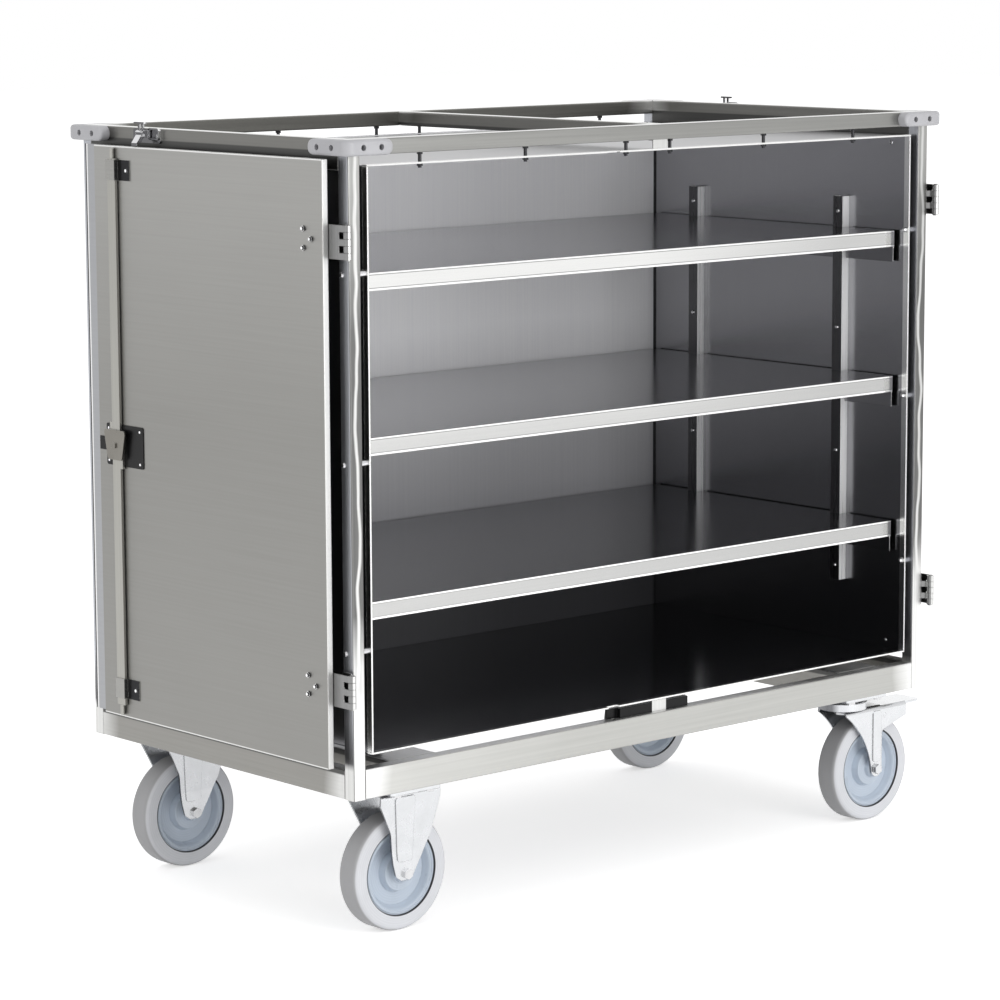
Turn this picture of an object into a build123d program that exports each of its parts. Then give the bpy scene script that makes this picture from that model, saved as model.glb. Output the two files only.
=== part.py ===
from build123d import *
import os
from math import cos, radians, sin

# A hospital transport trolley: a welded tube frame on castors, a sheet liner hung inside it with
# loose shelves, and two doors that fold back along its sides. The origin is on the floor under the
# middle of the frame, with X to the trolley's right, Y to its back and Z up.

os.makedirs("parts", exist_ok=True)

# Driving sizes of the frame, in millimetres
frame_width = 1370.0
frame_depth = 725.0
frame_height = 1075.0
castor_height = 250.0
tube_size = 25.0
tube_wall = 2.0
tube_corner = 2.5
base_rail_height = 50.0
top_rail_height = 26.0
top_side_rail_height = 50.0
base_cross_width = 100.0
base_cross_inset = 95.0
top_cross_offset = 20.0

# Liner, hung inside the frame. Heights are measured from the underside of the base rails, and the
# roof from the top of the frame. The left wall and all that it carries stand further in.
sheet = 1.5
hem_thickness = 3.0
hem_depth = 12.0
liner_side_inset = 37.0
liner_front_inset = 10.0
liner_back_inset = 45.0
liner_floor_height = 73.0
liner_roof_drop = 42.0
liner_left_shift = 13.0

# Shelves and the uprights that carry them
shelf_heights = {"shelf_lower": 317.0, "shelf_middle": 588.0, "shelf_upper": 857.0}
shelf_front_inset = 38.0
shelf_back_gap = 10.0
shelf_end_gap = 8.0
shelf_lip = 30.0
shelf_lip_return = 10.0
shelf_side_flange = 58.0
shelf_bend_radius = 1.4
upright_width = 24.0
upright_depth = 18.0
upright_spacing = 383.0
upright_bottom = 190.0
upright_top = 914.0
upright_screw_heights = (218.0, 437.0, 669.0, 886.0)
upright_screw_radius = 2.5
shelf_notch_gap = 2.0
peg_radius = 4.0
peg_reach = 18.0
peg_head_radius = 6.0
peg_head_thickness = 2.0

# Bolts that hang the liner
bolt_clearance = 0.2
stud_pitch = 230.0
stud_centre_offset = 52.0
stud_row_shifts = {-1: -8.0, 1: 12.0}
stud_radius = 3.0
stud_inset = 18.0
stud_overhang = 7.0
stud_nut_radius = 5.2
stud_nut_height = 4.0
wall_bolt_heights = (243.0, 552.0, 859.0)
wall_bolt_radius = 3.0
wall_bolt_inset = 18.0
spacer_radius = 6.0
packer_radius = 16.0
packer_inset = 130.0

# Screw heads (radius, height) and dome nuts (radius, height, crown)
upright_screw_head = (4.5, 2.2)
upright_nut = (4.5, 4.0)
wall_bolt_head = (5.0, 2.8)
wall_bolt_nut = (5.0, 3.0, 3.0)
bumper_screw_head = (4.2, 3.0)
hinge_bolt_head = (4.5, 2.2)
hinge_bolt_nut = (4.8, 2.5, 2.5)
plate_screw_head = (3.6, 1.6)
guide_screw_head = (4.5, 2.4)
catch_screw_head = (3.6, 1.8)

# Corner bumpers
bumper_thickness = 20.0
bumper_arm = 100.0
bumper_corner_radius = 17.0
bumper_end_radius = 12.0
bumper_edge_radius = 6.0
bumper_post_hole = 37.0
bumper_rail_hole = 74.0
bumper_recess_radius = 5.0
bumper_recess_depth = 12.0
bumper_bolt_radius = 2.5

# Hinges. The pin stands as far outside the frame's side as in front of it.
hinge_offset = 11.5
hinge_height = 55.0
hinge_centres = (185.0, 913.0)
hinge_segments = 5
hinge_pin_radius = 3.0
hinge_pin_head = 4.5
hinge_pin_head_height = 1.5
hinge_knuckle_radius = 6.5
hinge_running_gap = 0.05
hinge_end_gap = 0.4
hinge_leaf = 2.0
door_leaf_reach = 95.0
frame_leaf_reach = 24.0
hinge_notch_reach = 14.0
hinge_bolt_spots = ((67.5, 3.0), (87.0, 19.0), (87.0, -12.0))
hinge_bolt_radius = 2.5

# Doors. Reaches run back from the frame's front face as the doors stand open.
door_thickness = 13.0
door_corner = 2.0
door_skin = 1.5
door_post_gap = 3.0
door_bottom_gap = 4.0
door_top_gap = 5.0
door_lip = 2.0
left_door_body = 650.0
left_door_lip = 690.0
right_door_body = 676.0
right_door_lip = 715.0

# Rod lock on the left door
lock_reach = 591.0
lock_height = 531.0
lock_plate = 1.5
lock_plate_width = 106.0
lock_plate_height = 72.0
lock_plate_shift = 18.0
lock_tab_width = 20.0
lock_tab_height = 23.0
lock_plate_corner = 4.0
rod_width = 22.0
rod_thickness = 5.0
rod_standoff = 2.0
rod_retreat = 8.0
rod_tip_radius = 4.0
rod_tip_length = 18.0
rod_tip_chamfer = 1.2
rod_hole_gap = 1.0
rod_notch_gap = 2.0
crank_radius = 12.0
crank_rest_angle = 45.0
crank_pin_radius = 2.5
crank_slot_gap = 0.7
crank_hook = 3.0
rod_leg_width = 11.0
rod_leg_gap = 1.5
rod_foot_start = 20.0
rod_lug_top = 40.0
spindle_radius = 5.0
spindle_gap = 0.1
rotor_thickness = 3.0
rotor_gap = 0.8
rotor_top_width = 62.0
rotor_bottom_width = 40.0
rotor_top_reach = 27.0
rotor_bottom_reach = 25.0
rotor_corner = 6.0
rotor_screw_size = 9.0
rotor_screw_height = 2.5
rotor_screw_corner = 1.5
guide_top_inset = 23.0
guide_bottom_inset = 34.0
guide_height = 35.0
guide_sheet = 1.6
guide_gap = 0.4
guide_tab = 46.0
lock_screw_radius = 2.0
lock_screw_inset = 8.0
handle_gap = 0.5
handle_neck_radius = 9.0
handle_neck_length = 17.0
handle_length = 105.0
handle_width = 20.0
handle_thickness = 9.0
handle_edge = 2.5

# Strike block and stops where the doors meet
strike_left = 580.0
strike_right = 768.0
strike_front_inset = 9.0
strike_depth = 13.0
strike_height = 17.0
stop_centre = 698.0
stop_width = 34.0
stop_height = 20.0
stop_sheet = 2.0
stop_side_gap = 0.5
upper_stop_drop = 15.0
upper_stop_foot = 12.0

# Hold-back catches on the side top rails
catch_reach = 534.0
catch_plate_length = 76.0
catch_plate_height = 24.0
catch_plate_thickness = 3.0
catch_plate_corner = 4.0
catch_pivot_out = 14.0
catch_pivot_drop = 9.0
catch_pin_radius = 2.5
catch_lever_width = 15.0
catch_lever_slot = 5.0
catch_boss_radius = 6.0
catch_ear = 2.5
catch_ear_radius = 6.0
catch_side_gap = 0.4
catch_tab_height = 20.0
catch_tab_thickness = 3.0
catch_cap_length = 32.0
catch_cap_width = 7.0
catch_nose_out = 13.0
catch_nose_width = 5.0
catch_door_gap = 2.0
catch_ring_length = 30.0
catch_ring_height = 20.0
catch_ring_bar = 3.0
catch_ring_standoff = 5.0
catch_ring_corner = 5.0
catch_screw_inset = 8.0

# Wheels
wheel_radius = 100.0
wheel_width = 46.0
tyre_shoulder = 9.0
rim_radius = 74.0
rim_width = 40.0
dish_radius = 64.0
dish_web = 14.0
hub_radius = 32.0
hub_width = 44.0
boss_radius = 16.0
boss_width = 64.0
axle_radius = 6.0
axle_running_gap = 0.05
axle_head_radius = 9.5
axle_head_height = 6.0

# Castor plates and forks. Fork outlines are measured from the wheel's axle.
axle_drop = 150.0
castor_inset_x = 138.0
castor_inset_y = 70.0
castor_plate_length = 130.0
castor_plate_width = 110.0
castor_plate_thickness = 6.0
castor_plate_corner = 8.0
castor_bolt_spacing_x = 70.0
castor_bolt_spacing_y = 112.0
castor_bolt_radius = 4.0
castor_bolt_head = 7.0
castor_bolt_head_height = 5.0
castor_bolt_reach = 14.0
fork_width = 74.0
fork_sheet = 4.0
fork_bend = 9.0
fork_boss_radius = 14.0
fork_rib_proud = 1.6
fixed_fork_front = 61.0
fixed_fork_back = 68.0
fixed_fork_skirt = 20.0
fixed_crown_width = 92.0
fixed_knee = 40.0
fixed_leg_left = ((-36.0, 74.0), (-29.0, 20.0), (-23.0, -3.0), (-8.0, -13.0))
fixed_leg_right = ((12.1, -7.0), (33.0, 28.0), (51.0, 62.0))
fixed_leg_bends = (40.0, 16.0, 10.0)
fixed_rib_left = -31.0
fixed_rib_right = 12.0
fixed_rib_foot = ((12.0, 22.0), (-20.0, 22.0))
rib_corner = 6.0
swivel_trail = 56.0
swivel_head_drop = 30.0
swivel_head_radius = 46.0
swivel_race_radius = 42.0
swivel_race_height = 10.0
swivel_race_taper = 12.0
swivel_gap = 0.5
swivel_crown_front = 83.0
swivel_crown_back = 80.0
swivel_crown_skirt = 10.0
swivel_leg_bow = (-38.0, 64.0)
swivel_flange_root = (14.0, 72.0)
swivel_flange_bottom = 93.0
swivel_flange_bend = 8.0
swivel_rib_width = 22.0
swivel_rib_bottom = 14.0
king_pin_radius = 8.0
king_pin_head_radius = 15.0
king_pin_head_height = 8.0

# Brake pedals on the swivel castors
pedal_pivot_x = 22.0
pedal_pivot_z = 100.0
pedal_pin_radius = 4.0
pedal_width = 60.0
pedal_sheet = 4.0
pedal_reach = 127.0
pedal_ear_radius = 8.0
pedal_corner = 12.0
pedal_travel = 8.0
pedal_pad_near = 42.0
pedal_pad_far = 58.0
pedal_pad_gap = 0.4

# Places worked out from the driving sizes
half_width = frame_width / 2
half_depth = frame_depth / 2
front_y = -half_depth
base_top = castor_height + base_rail_height
frame_top = castor_height + frame_height
top_rail_bottom = frame_top - top_rail_height
top_rail_middle = frame_top - top_rail_height / 2
top_side_rail_middle = frame_top - top_side_rail_height / 2
base_rail_middle = castor_height + base_rail_height / 2
tube_middle_x = half_width - tube_size / 2
tube_middle_y = half_depth - tube_size / 2
post_inner_x = half_width - tube_size
post_inner_y = half_depth - tube_size
base_cross_x = half_width - base_cross_inset - base_cross_width / 2

liner_inner_x = half_width - liner_side_inset
liner_outer_x = liner_inner_x + hem_thickness
liner_left_x = liner_left_shift - liner_inner_x
liner_left_outer_x = liner_left_x - hem_thickness
liner_end_y = half_depth - liner_front_inset
liner_back_y = half_depth - liner_back_inset
liner_floor = castor_height + liner_floor_height
liner_ceiling = castor_height + frame_height - liner_roof_drop - hem_thickness
shelf_right_x = liner_inner_x - shelf_end_gap
shelf_left_x = liner_left_x + shelf_end_gap
shelf_front_y = front_y + shelf_front_inset
shelf_back_y = liner_back_y - shelf_back_gap
upright_face_x = liner_inner_x - upright_depth
upright_rows = (-upright_spacing / 2, upright_spacing / 2)
stud_columns = [side * (stud_centre_offset + step * stud_pitch) for side in (-1, 1) for step in range(3)]
stud_spots = {
    side_y: [(column + shift, side_y * (half_depth - stud_inset)) for column in stud_columns]
    for side_y, shift in stud_row_shifts.items()
}
wall_bolt_y = half_depth - wall_bolt_inset

pin_x = half_width + hinge_offset
pin_y = front_y - hinge_offset
door_outer_x = pin_x + hinge_knuckle_radius
door_inner_x = door_outer_x + door_thickness
door_edge_y = front_y + tube_size + door_post_gap
door_bottom = base_top + door_bottom_gap
door_top = top_rail_bottom - door_top_gap

lock_y = front_y + lock_reach
lock_z = castor_height + lock_height
rod_inner_x = door_inner_x + rod_standoff
rod_outer_x = rod_inner_x + rod_thickness
rod_middle_x = rod_inner_x + rod_thickness / 2
rod_closed_x = -half_width + lock_reach
rod_closed_y = pin_y + rod_middle_x - pin_x
crank_side = crank_radius * cos(radians(crank_rest_angle))
crank_drop = crank_radius * sin(radians(crank_rest_angle))
rotor_inner_x = rod_outer_x + rotor_gap

castor_x = half_width - castor_inset_x
castor_y = half_depth - castor_inset_y
axle_z = castor_height - axle_drop
plate_bottom = castor_height - castor_plate_thickness
swivel_crown_top = castor_height - swivel_head_drop
swivel_wheel_x = castor_x + swivel_trail
castor_bolt_columns = (castor_x - castor_bolt_spacing_x / 2, castor_x + castor_bolt_spacing_x / 2)
castor_outer_row = castor_y + castor_bolt_spacing_y / 2
castor_inner_row = castor_y - castor_bolt_spacing_y / 2


def region(x_first, x_second, y_first, y_second, mode=Mode.ADD):
    """Add or cut a rectangle, given by its limits, in the sketch at hand."""
    with Locations(((x_first + x_second) / 2, (y_first + y_second) / 2)):
        Rectangle(abs(x_second - x_first), abs(y_second - y_first), mode=mode)


def write_piece(piece, name):
    """Label a finished piece and write it under its own name."""
    piece.part.label = name
    export_step(piece.part, f"parts/{name}.step")


def write_group(pieces, name):
    """Write pieces that share a name as separate solids, even where they touch."""
    group = Compound(label=name, children=[solid for piece in pieces for solid in piece.part.solids()])
    export_step(group, f"parts/{name}.step")


def tube_profile(plane, width, height):
    """The section of a rectangular tube, centred on the plane."""
    with BuildSketch(plane) as profile:
        RectangleRounded(width, height, tube_corner)
        Rectangle(width - 2 * tube_wall, height - 2 * tube_wall, mode=Mode.SUBTRACT)
    return profile.sketch


def facing(x, y, z, direction):
    """A plane at a point, looking along a direction, for holes and fasteners."""
    return Plane(origin=(x, y, z), z_dir=direction)


def button_screw(spots, radius, length, head_radius, head_height):
    """Button-head screws whose heads stand on the planes given."""
    with Locations(*spots):
        Cylinder(radius, length, align=(Align.CENTER, Align.CENTER, Align.MAX))
        Cone(head_radius, head_radius * 0.6, head_height, align=(Align.CENTER, Align.CENTER, Align.MIN))


def dome_nut(spots, width, height, crown):
    """Hexagon nuts with a rounded crown, standing on the planes given."""
    with Locations(*spots):
        with BuildPart(mode=Mode.PRIVATE) as nut:
            with BuildSketch():
                RegularPolygon(width, 6)
            extrude(amount=height)
            with BuildSketch(Plane.XY.offset(height)):
                Circle(width * 0.8)
            extrude(amount=crown, taper=30)
        add(nut.part)


# Frame

def corner_post(name, side_x, side_y):
    """A closed square post, drilled for a bumper and for the liner's wall bolts."""
    middle = (side_x * tube_middle_x, side_y * tube_middle_y)
    bumper_x = side_x * (half_width + bumper_thickness - bumper_post_hole)
    bumper_y = side_y * (half_depth + bumper_thickness - bumper_post_hole)
    with BuildPart() as post:
        with BuildSketch(Plane.XY.offset(castor_height)):
            with Locations(middle):
                RectangleRounded(tube_size, tube_size, tube_corner)
        extrude(amount=frame_height)
        with BuildSketch(Plane.XY.offset(castor_height + tube_wall)):
            with Locations(middle):
                Rectangle(tube_size - 2 * tube_wall, tube_size - 2 * tube_wall)
        extrude(amount=frame_height - 2 * tube_wall, mode=Mode.SUBTRACT)
        with Locations(
            facing(bumper_x, side_y * half_depth, top_rail_middle, (0, side_y, 0)),
            facing(side_x * half_width, bumper_y, top_rail_middle, (side_x, 0, 0)),
        ):
            Hole(bumper_bolt_radius + bolt_clearance, depth=2 * tube_wall)
        for height in wall_bolt_heights:
            level = castor_height + height
            with Locations(facing(side_x * half_width, side_y * wall_bolt_y, level, (side_x, 0, 0))):
                Hole(wall_bolt_radius + bolt_clearance, depth=tube_size + tube_wall)
    write_piece(post, name)


corner_post("corner_post_front_left", -1, -1)
corner_post("corner_post_front_right", 1, -1)
corner_post("corner_post_rear_left", -1, 1)
corner_post("corner_post_rear_right", 1, 1)


def cross_plane(side_y, middle_z):
    """Where a front or rear rail starts, at the left post, running to the right."""
    return Plane(origin=(-post_inner_x, side_y * tube_middle_y, middle_z), x_dir=(0, 1, 0), z_dir=(1, 0, 0))


def depth_plane(middle_x, middle_z):
    """Where a tube that runs front to back starts."""
    return Plane(origin=(middle_x, -post_inner_y, middle_z), x_dir=(-1, 0, 0), z_dir=(0, 1, 0))


for name, side_y in (("base_rail_front", -1), ("base_rail_rear", 1)):
    with BuildPart() as base_rail:
        section = tube_profile(cross_plane(side_y, base_rail_middle), tube_size, base_rail_height)
        extrude(section, amount=2 * post_inner_x)
        for side_x in (-1, 1):
            for column in castor_bolt_columns:
                with Locations(facing(side_x * column, side_y * castor_outer_row, castor_height, (0, 0, -1))):
                    Hole(castor_bolt_radius + bolt_clearance, depth=2 * tube_wall)
        if side_y < 0:
            with Locations(facing(rod_closed_x, rod_closed_y, base_top, (0, 0, 1))):
                Hole(rod_tip_radius + rod_hole_gap, depth=2 * tube_wall)
    write_piece(base_rail, name)

for name, side_y in (("top_rail_front", -1), ("top_rail_rear", 1)):
    with BuildPart() as top_rail:
        section = tube_profile(cross_plane(side_y, top_rail_middle), tube_size, top_rail_height)
        extrude(section, amount=2 * post_inner_x)
        for spot_x, spot_y in stud_spots[side_y]:
            with Locations(facing(spot_x, spot_y, top_rail_bottom, (0, 0, -1))):
                Hole(stud_radius + bolt_clearance, depth=2 * tube_wall)
        for side_x in (-1, 1):
            hole_x = side_x * (half_width + bumper_thickness - bumper_rail_hole)
            with Locations(facing(hole_x, side_y * half_depth, top_rail_middle, (0, side_y, 0))):
                Hole(bumper_bolt_radius + bolt_clearance, depth=2 * tube_wall)
        if side_y < 0:
            with Locations(facing(rod_closed_x, rod_closed_y, top_rail_bottom, (0, 0, -1))):
                Hole(rod_tip_radius + rod_hole_gap, depth=2 * tube_wall)
    write_piece(top_rail, name)

with BuildPart() as base_side_rails:
    section = tube_profile(depth_plane(-tube_middle_x, base_rail_middle), tube_size, base_rail_height)
    extrude(section, amount=2 * post_inner_y)
    mirror(about=Plane.YZ)
write_piece(base_side_rails, "base_side_rails")

catch_y = front_y + catch_reach
catch_screw_y = catch_plate_length / 2 - catch_screw_inset

with BuildPart() as top_side_rails:
    section = tube_profile(depth_plane(-tube_middle_x, top_side_rail_middle), tube_size, top_side_rail_height)
    extrude(section, amount=2 * post_inner_y)
    for side_y in (-1, 1):
        hole_y = side_y * (half_depth + bumper_thickness - bumper_rail_hole)
        with Locations(facing(-half_width, hole_y, top_rail_middle, (-1, 0, 0))):
            Hole(bumper_bolt_radius + bolt_clearance, depth=2 * tube_wall)
        with Locations(facing(-half_width, catch_y + side_y * catch_screw_y, top_rail_middle, (-1, 0, 0))):
            Hole(lock_screw_radius + bolt_clearance, depth=2 * tube_wall)
    mirror(about=Plane.YZ)
write_piece(top_side_rails, "top_side_rails")

with BuildPart() as base_cross_members:
    section = tube_profile(depth_plane(-base_cross_x, base_rail_middle), base_cross_width, base_rail_height)
    extrude(section, amount=2 * post_inner_y)
    for side_y in (-1, 1):
        for column in castor_bolt_columns:
            with Locations(facing(-column, side_y * castor_inner_row, castor_height, (0, 0, -1))):
                Hole(castor_bolt_radius + bolt_clearance, depth=2 * tube_wall)
    mirror(about=Plane.YZ)
write_piece(base_cross_members, "base_cross_members")

with BuildPart() as top_cross_member:
    section = tube_profile(depth_plane(top_cross_offset, top_rail_middle), tube_size, top_rail_height)
    extrude(section, amount=2 * post_inner_y)
write_piece(top_cross_member, "top_cross_member")


# Liner

notch_half_width = rod_width / 2 + rod_notch_gap
notch_back_y = rod_closed_y + rod_thickness / 2 + rod_notch_gap


def liner_sheet(name, sheet_bottom, hem_bottom):
    """The liner's floor or roof: a sheet with folded front and rear edges and a notch for the rod."""
    with BuildPart() as panel:
        with BuildSketch(Plane.XY.offset(sheet_bottom)):
            region(liner_left_outer_x, liner_outer_x, -liner_end_y, liner_end_y)
        extrude(amount=sheet)
        with BuildSketch(Plane.XY.offset(hem_bottom)):
            region(liner_left_outer_x, liner_outer_x, -liner_end_y, -liner_end_y + hem_depth)
            region(liner_left_outer_x, liner_outer_x, liner_end_y - hem_depth, liner_end_y)
        extrude(amount=hem_thickness)
        with BuildSketch(Plane.XY.offset(hem_bottom)):
            region(rod_closed_x - notch_half_width, rod_closed_x + notch_half_width, front_y, notch_back_y)
        extrude(amount=hem_thickness, mode=Mode.SUBTRACT)
        if name == "liner_roof":
            for spot_x, spot_y in stud_spots[-1] + stud_spots[1]:
                with Locations((spot_x, spot_y, hem_bottom + hem_thickness)):
                    Hole(stud_radius + bolt_clearance, depth=2 * hem_thickness)
    write_piece(panel, name)


liner_sheet("liner_floor", liner_floor - sheet, liner_floor - hem_thickness)
liner_sheet("liner_roof", liner_ceiling, liner_ceiling)

with BuildPart() as liner_back:
    with BuildSketch(Plane.XY.offset(liner_floor)):
        region(liner_left_x, liner_inner_x, liner_back_y, liner_back_y + sheet)
    extrude(amount=liner_ceiling - liner_floor)
write_piece(liner_back, "liner_back")


def add_left_copy(piece):
    """Add the left wall's copy of what the right wall carries to the part at hand."""
    add(Pos(liner_left_shift, 0, 0) * mirror(piece.part, about=Plane.YZ, mode=Mode.PRIVATE))


with BuildPart() as liner_side_walls:
    with BuildSketch(Plane.XY.offset(liner_floor)):
        region(liner_inner_x, liner_inner_x + sheet, -liner_end_y, liner_end_y)
        region(liner_inner_x, liner_outer_x, -liner_end_y, -liner_end_y + hem_depth)
        region(liner_inner_x, liner_outer_x, liner_end_y - hem_depth, liner_end_y)
    extrude(amount=liner_ceiling - liner_floor)
    for side_y in (-1, 1):
        for height in wall_bolt_heights:
            with Locations(facing(liner_outer_x, side_y * wall_bolt_y, castor_height + height, (1, 0, 0))):
                Hole(wall_bolt_radius + bolt_clearance, depth=2 * hem_thickness)
    for row in upright_rows:
        for height in upright_screw_heights:
            with Locations(facing(liner_outer_x, row, castor_height + height, (1, 0, 0))):
                Hole(upright_screw_radius + bolt_clearance, depth=2 * hem_thickness)
    add_left_copy(liner_side_walls)
write_piece(liner_side_walls, "liner_side_walls")

# Shelves

for name, height in shelf_heights.items():
    top = castor_height + height
    with BuildPart() as shelf:
        with BuildSketch(Plane.YZ.offset(shelf_left_x)):
            region(shelf_front_y, shelf_back_y, top - sheet, top)
            region(shelf_front_y, shelf_front_y + sheet, top - shelf_lip, top)
            region(shelf_front_y, shelf_front_y + shelf_lip_return, top - shelf_lip, top - shelf_lip + sheet)
            region(shelf_back_y - sheet, shelf_back_y, top - shelf_lip, top)
        extrude(amount=shelf_right_x - shelf_left_x)
        top_edges = shelf.edges().filter_by(Axis.X).group_by(Axis.Z)[-1]
        fillet(top_edges.sort_by(Axis.Y)[0], radius=shelf_bend_radius)
        with BuildSketch(Plane.XY.offset(top - shelf_side_flange)):
            region(shelf_left_x, shelf_left_x + sheet, shelf_front_y + sheet, shelf_back_y)
            region(shelf_right_x - sheet, shelf_right_x, shelf_front_y + sheet, shelf_back_y)
        extrude(amount=shelf_side_flange - sheet)
        with BuildSketch(Plane.XY.offset(top - shelf_side_flange)):
            notch_right = upright_face_x - shelf_notch_gap
            notch_left = liner_left_shift - notch_right
            notch_reach = upright_width / 2 + shelf_notch_gap
            for row in upright_rows:
                region(notch_right, liner_inner_x, row - notch_reach, row + notch_reach)
                region(liner_left_x, notch_left, row - notch_reach, row + notch_reach)
        extrude(amount=shelf_side_flange, mode=Mode.SUBTRACT)
    write_piece(shelf, name)

peg_heights = [castor_height + height - sheet - peg_radius for height in shelf_heights.values()]

with BuildPart() as shelf_uprights:
    with BuildSketch(Plane.XY.offset(castor_height + upright_bottom)):
        for row in upright_rows:
            region(upright_face_x, liner_inner_x, row - upright_width / 2, row + upright_width / 2)
            inner_reach = upright_width / 2 - sheet
            hollow_x = upright_face_x + sheet
            region(hollow_x, liner_inner_x, row - inner_reach, row + inner_reach, mode=Mode.SUBTRACT)
    extrude(amount=upright_top - upright_bottom)
    for row in upright_rows:
        for height in peg_heights:
            with Locations(facing(upright_face_x, row, height, (-1, 0, 0))):
                Hole(peg_radius + bolt_clearance, depth=2 * sheet)
        for height in upright_screw_heights:
            with Locations(facing(upright_face_x, row, castor_height + height, (-1, 0, 0))):
                Hole(upright_screw_radius + bolt_clearance, depth=2 * sheet)
    add_left_copy(shelf_uprights)
write_piece(shelf_uprights, "shelf_uprights")

screw_reach = upright_depth + sheet + upright_nut[1]

with BuildPart() as upright_fasteners:
    for row in upright_rows:
        for height in peg_heights:
            with Locations(facing(upright_face_x + sheet, row, height, (1, 0, 0))):
                Cylinder(peg_radius, peg_reach + sheet, align=(Align.CENTER, Align.CENTER, Align.MAX))
                Cylinder(peg_head_radius, peg_head_thickness, align=(Align.CENTER, Align.CENTER, Align.MIN))
        for height in upright_screw_heights:
            level = castor_height + height
            seat = facing(upright_face_x, row, level, (-1, 0, 0))
            button_screw([seat], upright_screw_radius, screw_reach, *upright_screw_head)
            with Locations(facing(liner_inner_x + sheet, row, level, (1, 0, 0))):
                Cylinder(*upright_nut, align=(Align.CENTER, Align.CENTER, Align.MIN))
    add_left_copy(upright_fasteners)
write_piece(upright_fasteners, "upright_fasteners")

# Bolts, spacers and packers that hang the liner in the frame


def wall_bolt(side_x, wall_inset, bolt_y, level):
    """Add one bolt, from a post's outer face to a dome nut inside the liner, with its spacer."""
    wall_x = side_x * (half_width - wall_inset)
    spacer_x = wall_x + side_x * hem_thickness
    head = facing(side_x * half_width, bolt_y, level, (side_x, 0, 0))
    button_screw([head], wall_bolt_radius, wall_inset, *wall_bolt_head)
    dome_nut([facing(wall_x, bolt_y, level, (-side_x, 0, 0))], *wall_bolt_nut)
    with BuildSketch(facing(spacer_x, bolt_y, level, (side_x, 0, 0))) as ring:
        Circle(spacer_radius)
        Circle(wall_bolt_radius + bolt_clearance, mode=Mode.SUBTRACT)
    extrude(ring.sketch, amount=wall_inset - hem_thickness - tube_size)


with BuildPart() as liner_wall_bolts:
    for side_y in (-1, 1):
        for height in wall_bolt_heights:
            wall_bolt(1, liner_side_inset, side_y * wall_bolt_y, castor_height + height)
            left_inset = liner_side_inset + liner_left_shift
            wall_bolt(-1, left_inset, side_y * wall_bolt_y, castor_height + height)
write_piece(liner_wall_bolts, "liner_wall_bolts")

all_stud_spots = stud_spots[-1] + stud_spots[1]
stud_top = top_rail_bottom + 2 * tube_wall
stud_bottom = liner_ceiling - stud_overhang

with BuildPart() as roof_studs:
    with BuildSketch(Plane.XY.offset(stud_bottom)):
        with Locations(*all_stud_spots):
            Circle(stud_radius)
    extrude(amount=stud_top - stud_bottom)
    for nut_top in (liner_ceiling, top_rail_bottom):
        with BuildSketch(Plane.XY.offset(nut_top - stud_nut_height)):
            with Locations(*all_stud_spots):
                RegularPolygon(stud_nut_radius, 6)
        extrude(amount=stud_nut_height)
write_piece(roof_studs, "roof_studs")

with BuildPart() as floor_packers:
    with BuildSketch(Plane.XY.offset(base_top)):
        packer_y = half_depth - packer_inset
        with Locations(*[(x, y) for x in (-base_cross_x, base_cross_x) for y in (-packer_y, packer_y)]):
            Circle(packer_radius)
    extrude(amount=liner_floor - sheet - base_top)
write_piece(floor_packers, "floor_packers")


# Corner bumpers

bumper_outer_x = half_width + bumper_thickness
bumper_outer_y = half_depth + bumper_thickness


def bounds_outer_face(edge):
    """Whether an edge runs round a bumper's outer face."""
    spot = edge @ 0.5
    from_corner = bumper_outer_x + bumper_outer_y - spot.X - spot.Y
    near_corner = from_corner < 1.5 * bumper_corner_radius
    on_face = max(spot.X - bumper_outer_x, spot.Y - bumper_outer_y) > -0.01
    upright_seam = near_corner and abs(edge.tangent_at(0.5).Z) > 0.9
    return (on_face or near_corner) and not upright_seam


with BuildPart() as corner_bumpers:
    with BuildSketch(Plane.XY.offset(top_rail_bottom)):
        region(bumper_outer_x - bumper_arm, bumper_outer_x, half_depth, bumper_outer_y)
        region(half_width, bumper_outer_x, bumper_outer_y - bumper_arm, bumper_outer_y)
    extrude(amount=top_rail_height)
    fillet(corner_bumpers.edges().filter_by(Axis.Z).sort_by(SortBy.DISTANCE)[-1], radius=bumper_corner_radius)
    fillet(corner_bumpers.edges().filter_by(Axis.Y).sort_by(Axis.X)[:2], radius=bumper_end_radius)
    fillet(corner_bumpers.edges().filter_by(Axis.X).sort_by(Axis.Y)[:2], radius=bumper_end_radius)
    fillet(corner_bumpers.edges().filter_by(bounds_outer_face), radius=bumper_edge_radius)
    for distance in (bumper_post_hole, bumper_rail_hole):
        with Locations(
            facing(bumper_outer_x - distance, bumper_outer_y, top_rail_middle, (0, 1, 0)),
            facing(bumper_outer_x, bumper_outer_y - distance, top_rail_middle, (1, 0, 0)),
        ):
            CounterBoreHole(
                bumper_bolt_radius + bolt_clearance,
                bumper_recess_radius,
                bumper_recess_depth,
                depth=bumper_thickness + 1,
            )
    mirror(about=Plane.YZ)
    mirror(about=Plane.XZ)
write_piece(corner_bumpers, "corner_bumpers")

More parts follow.
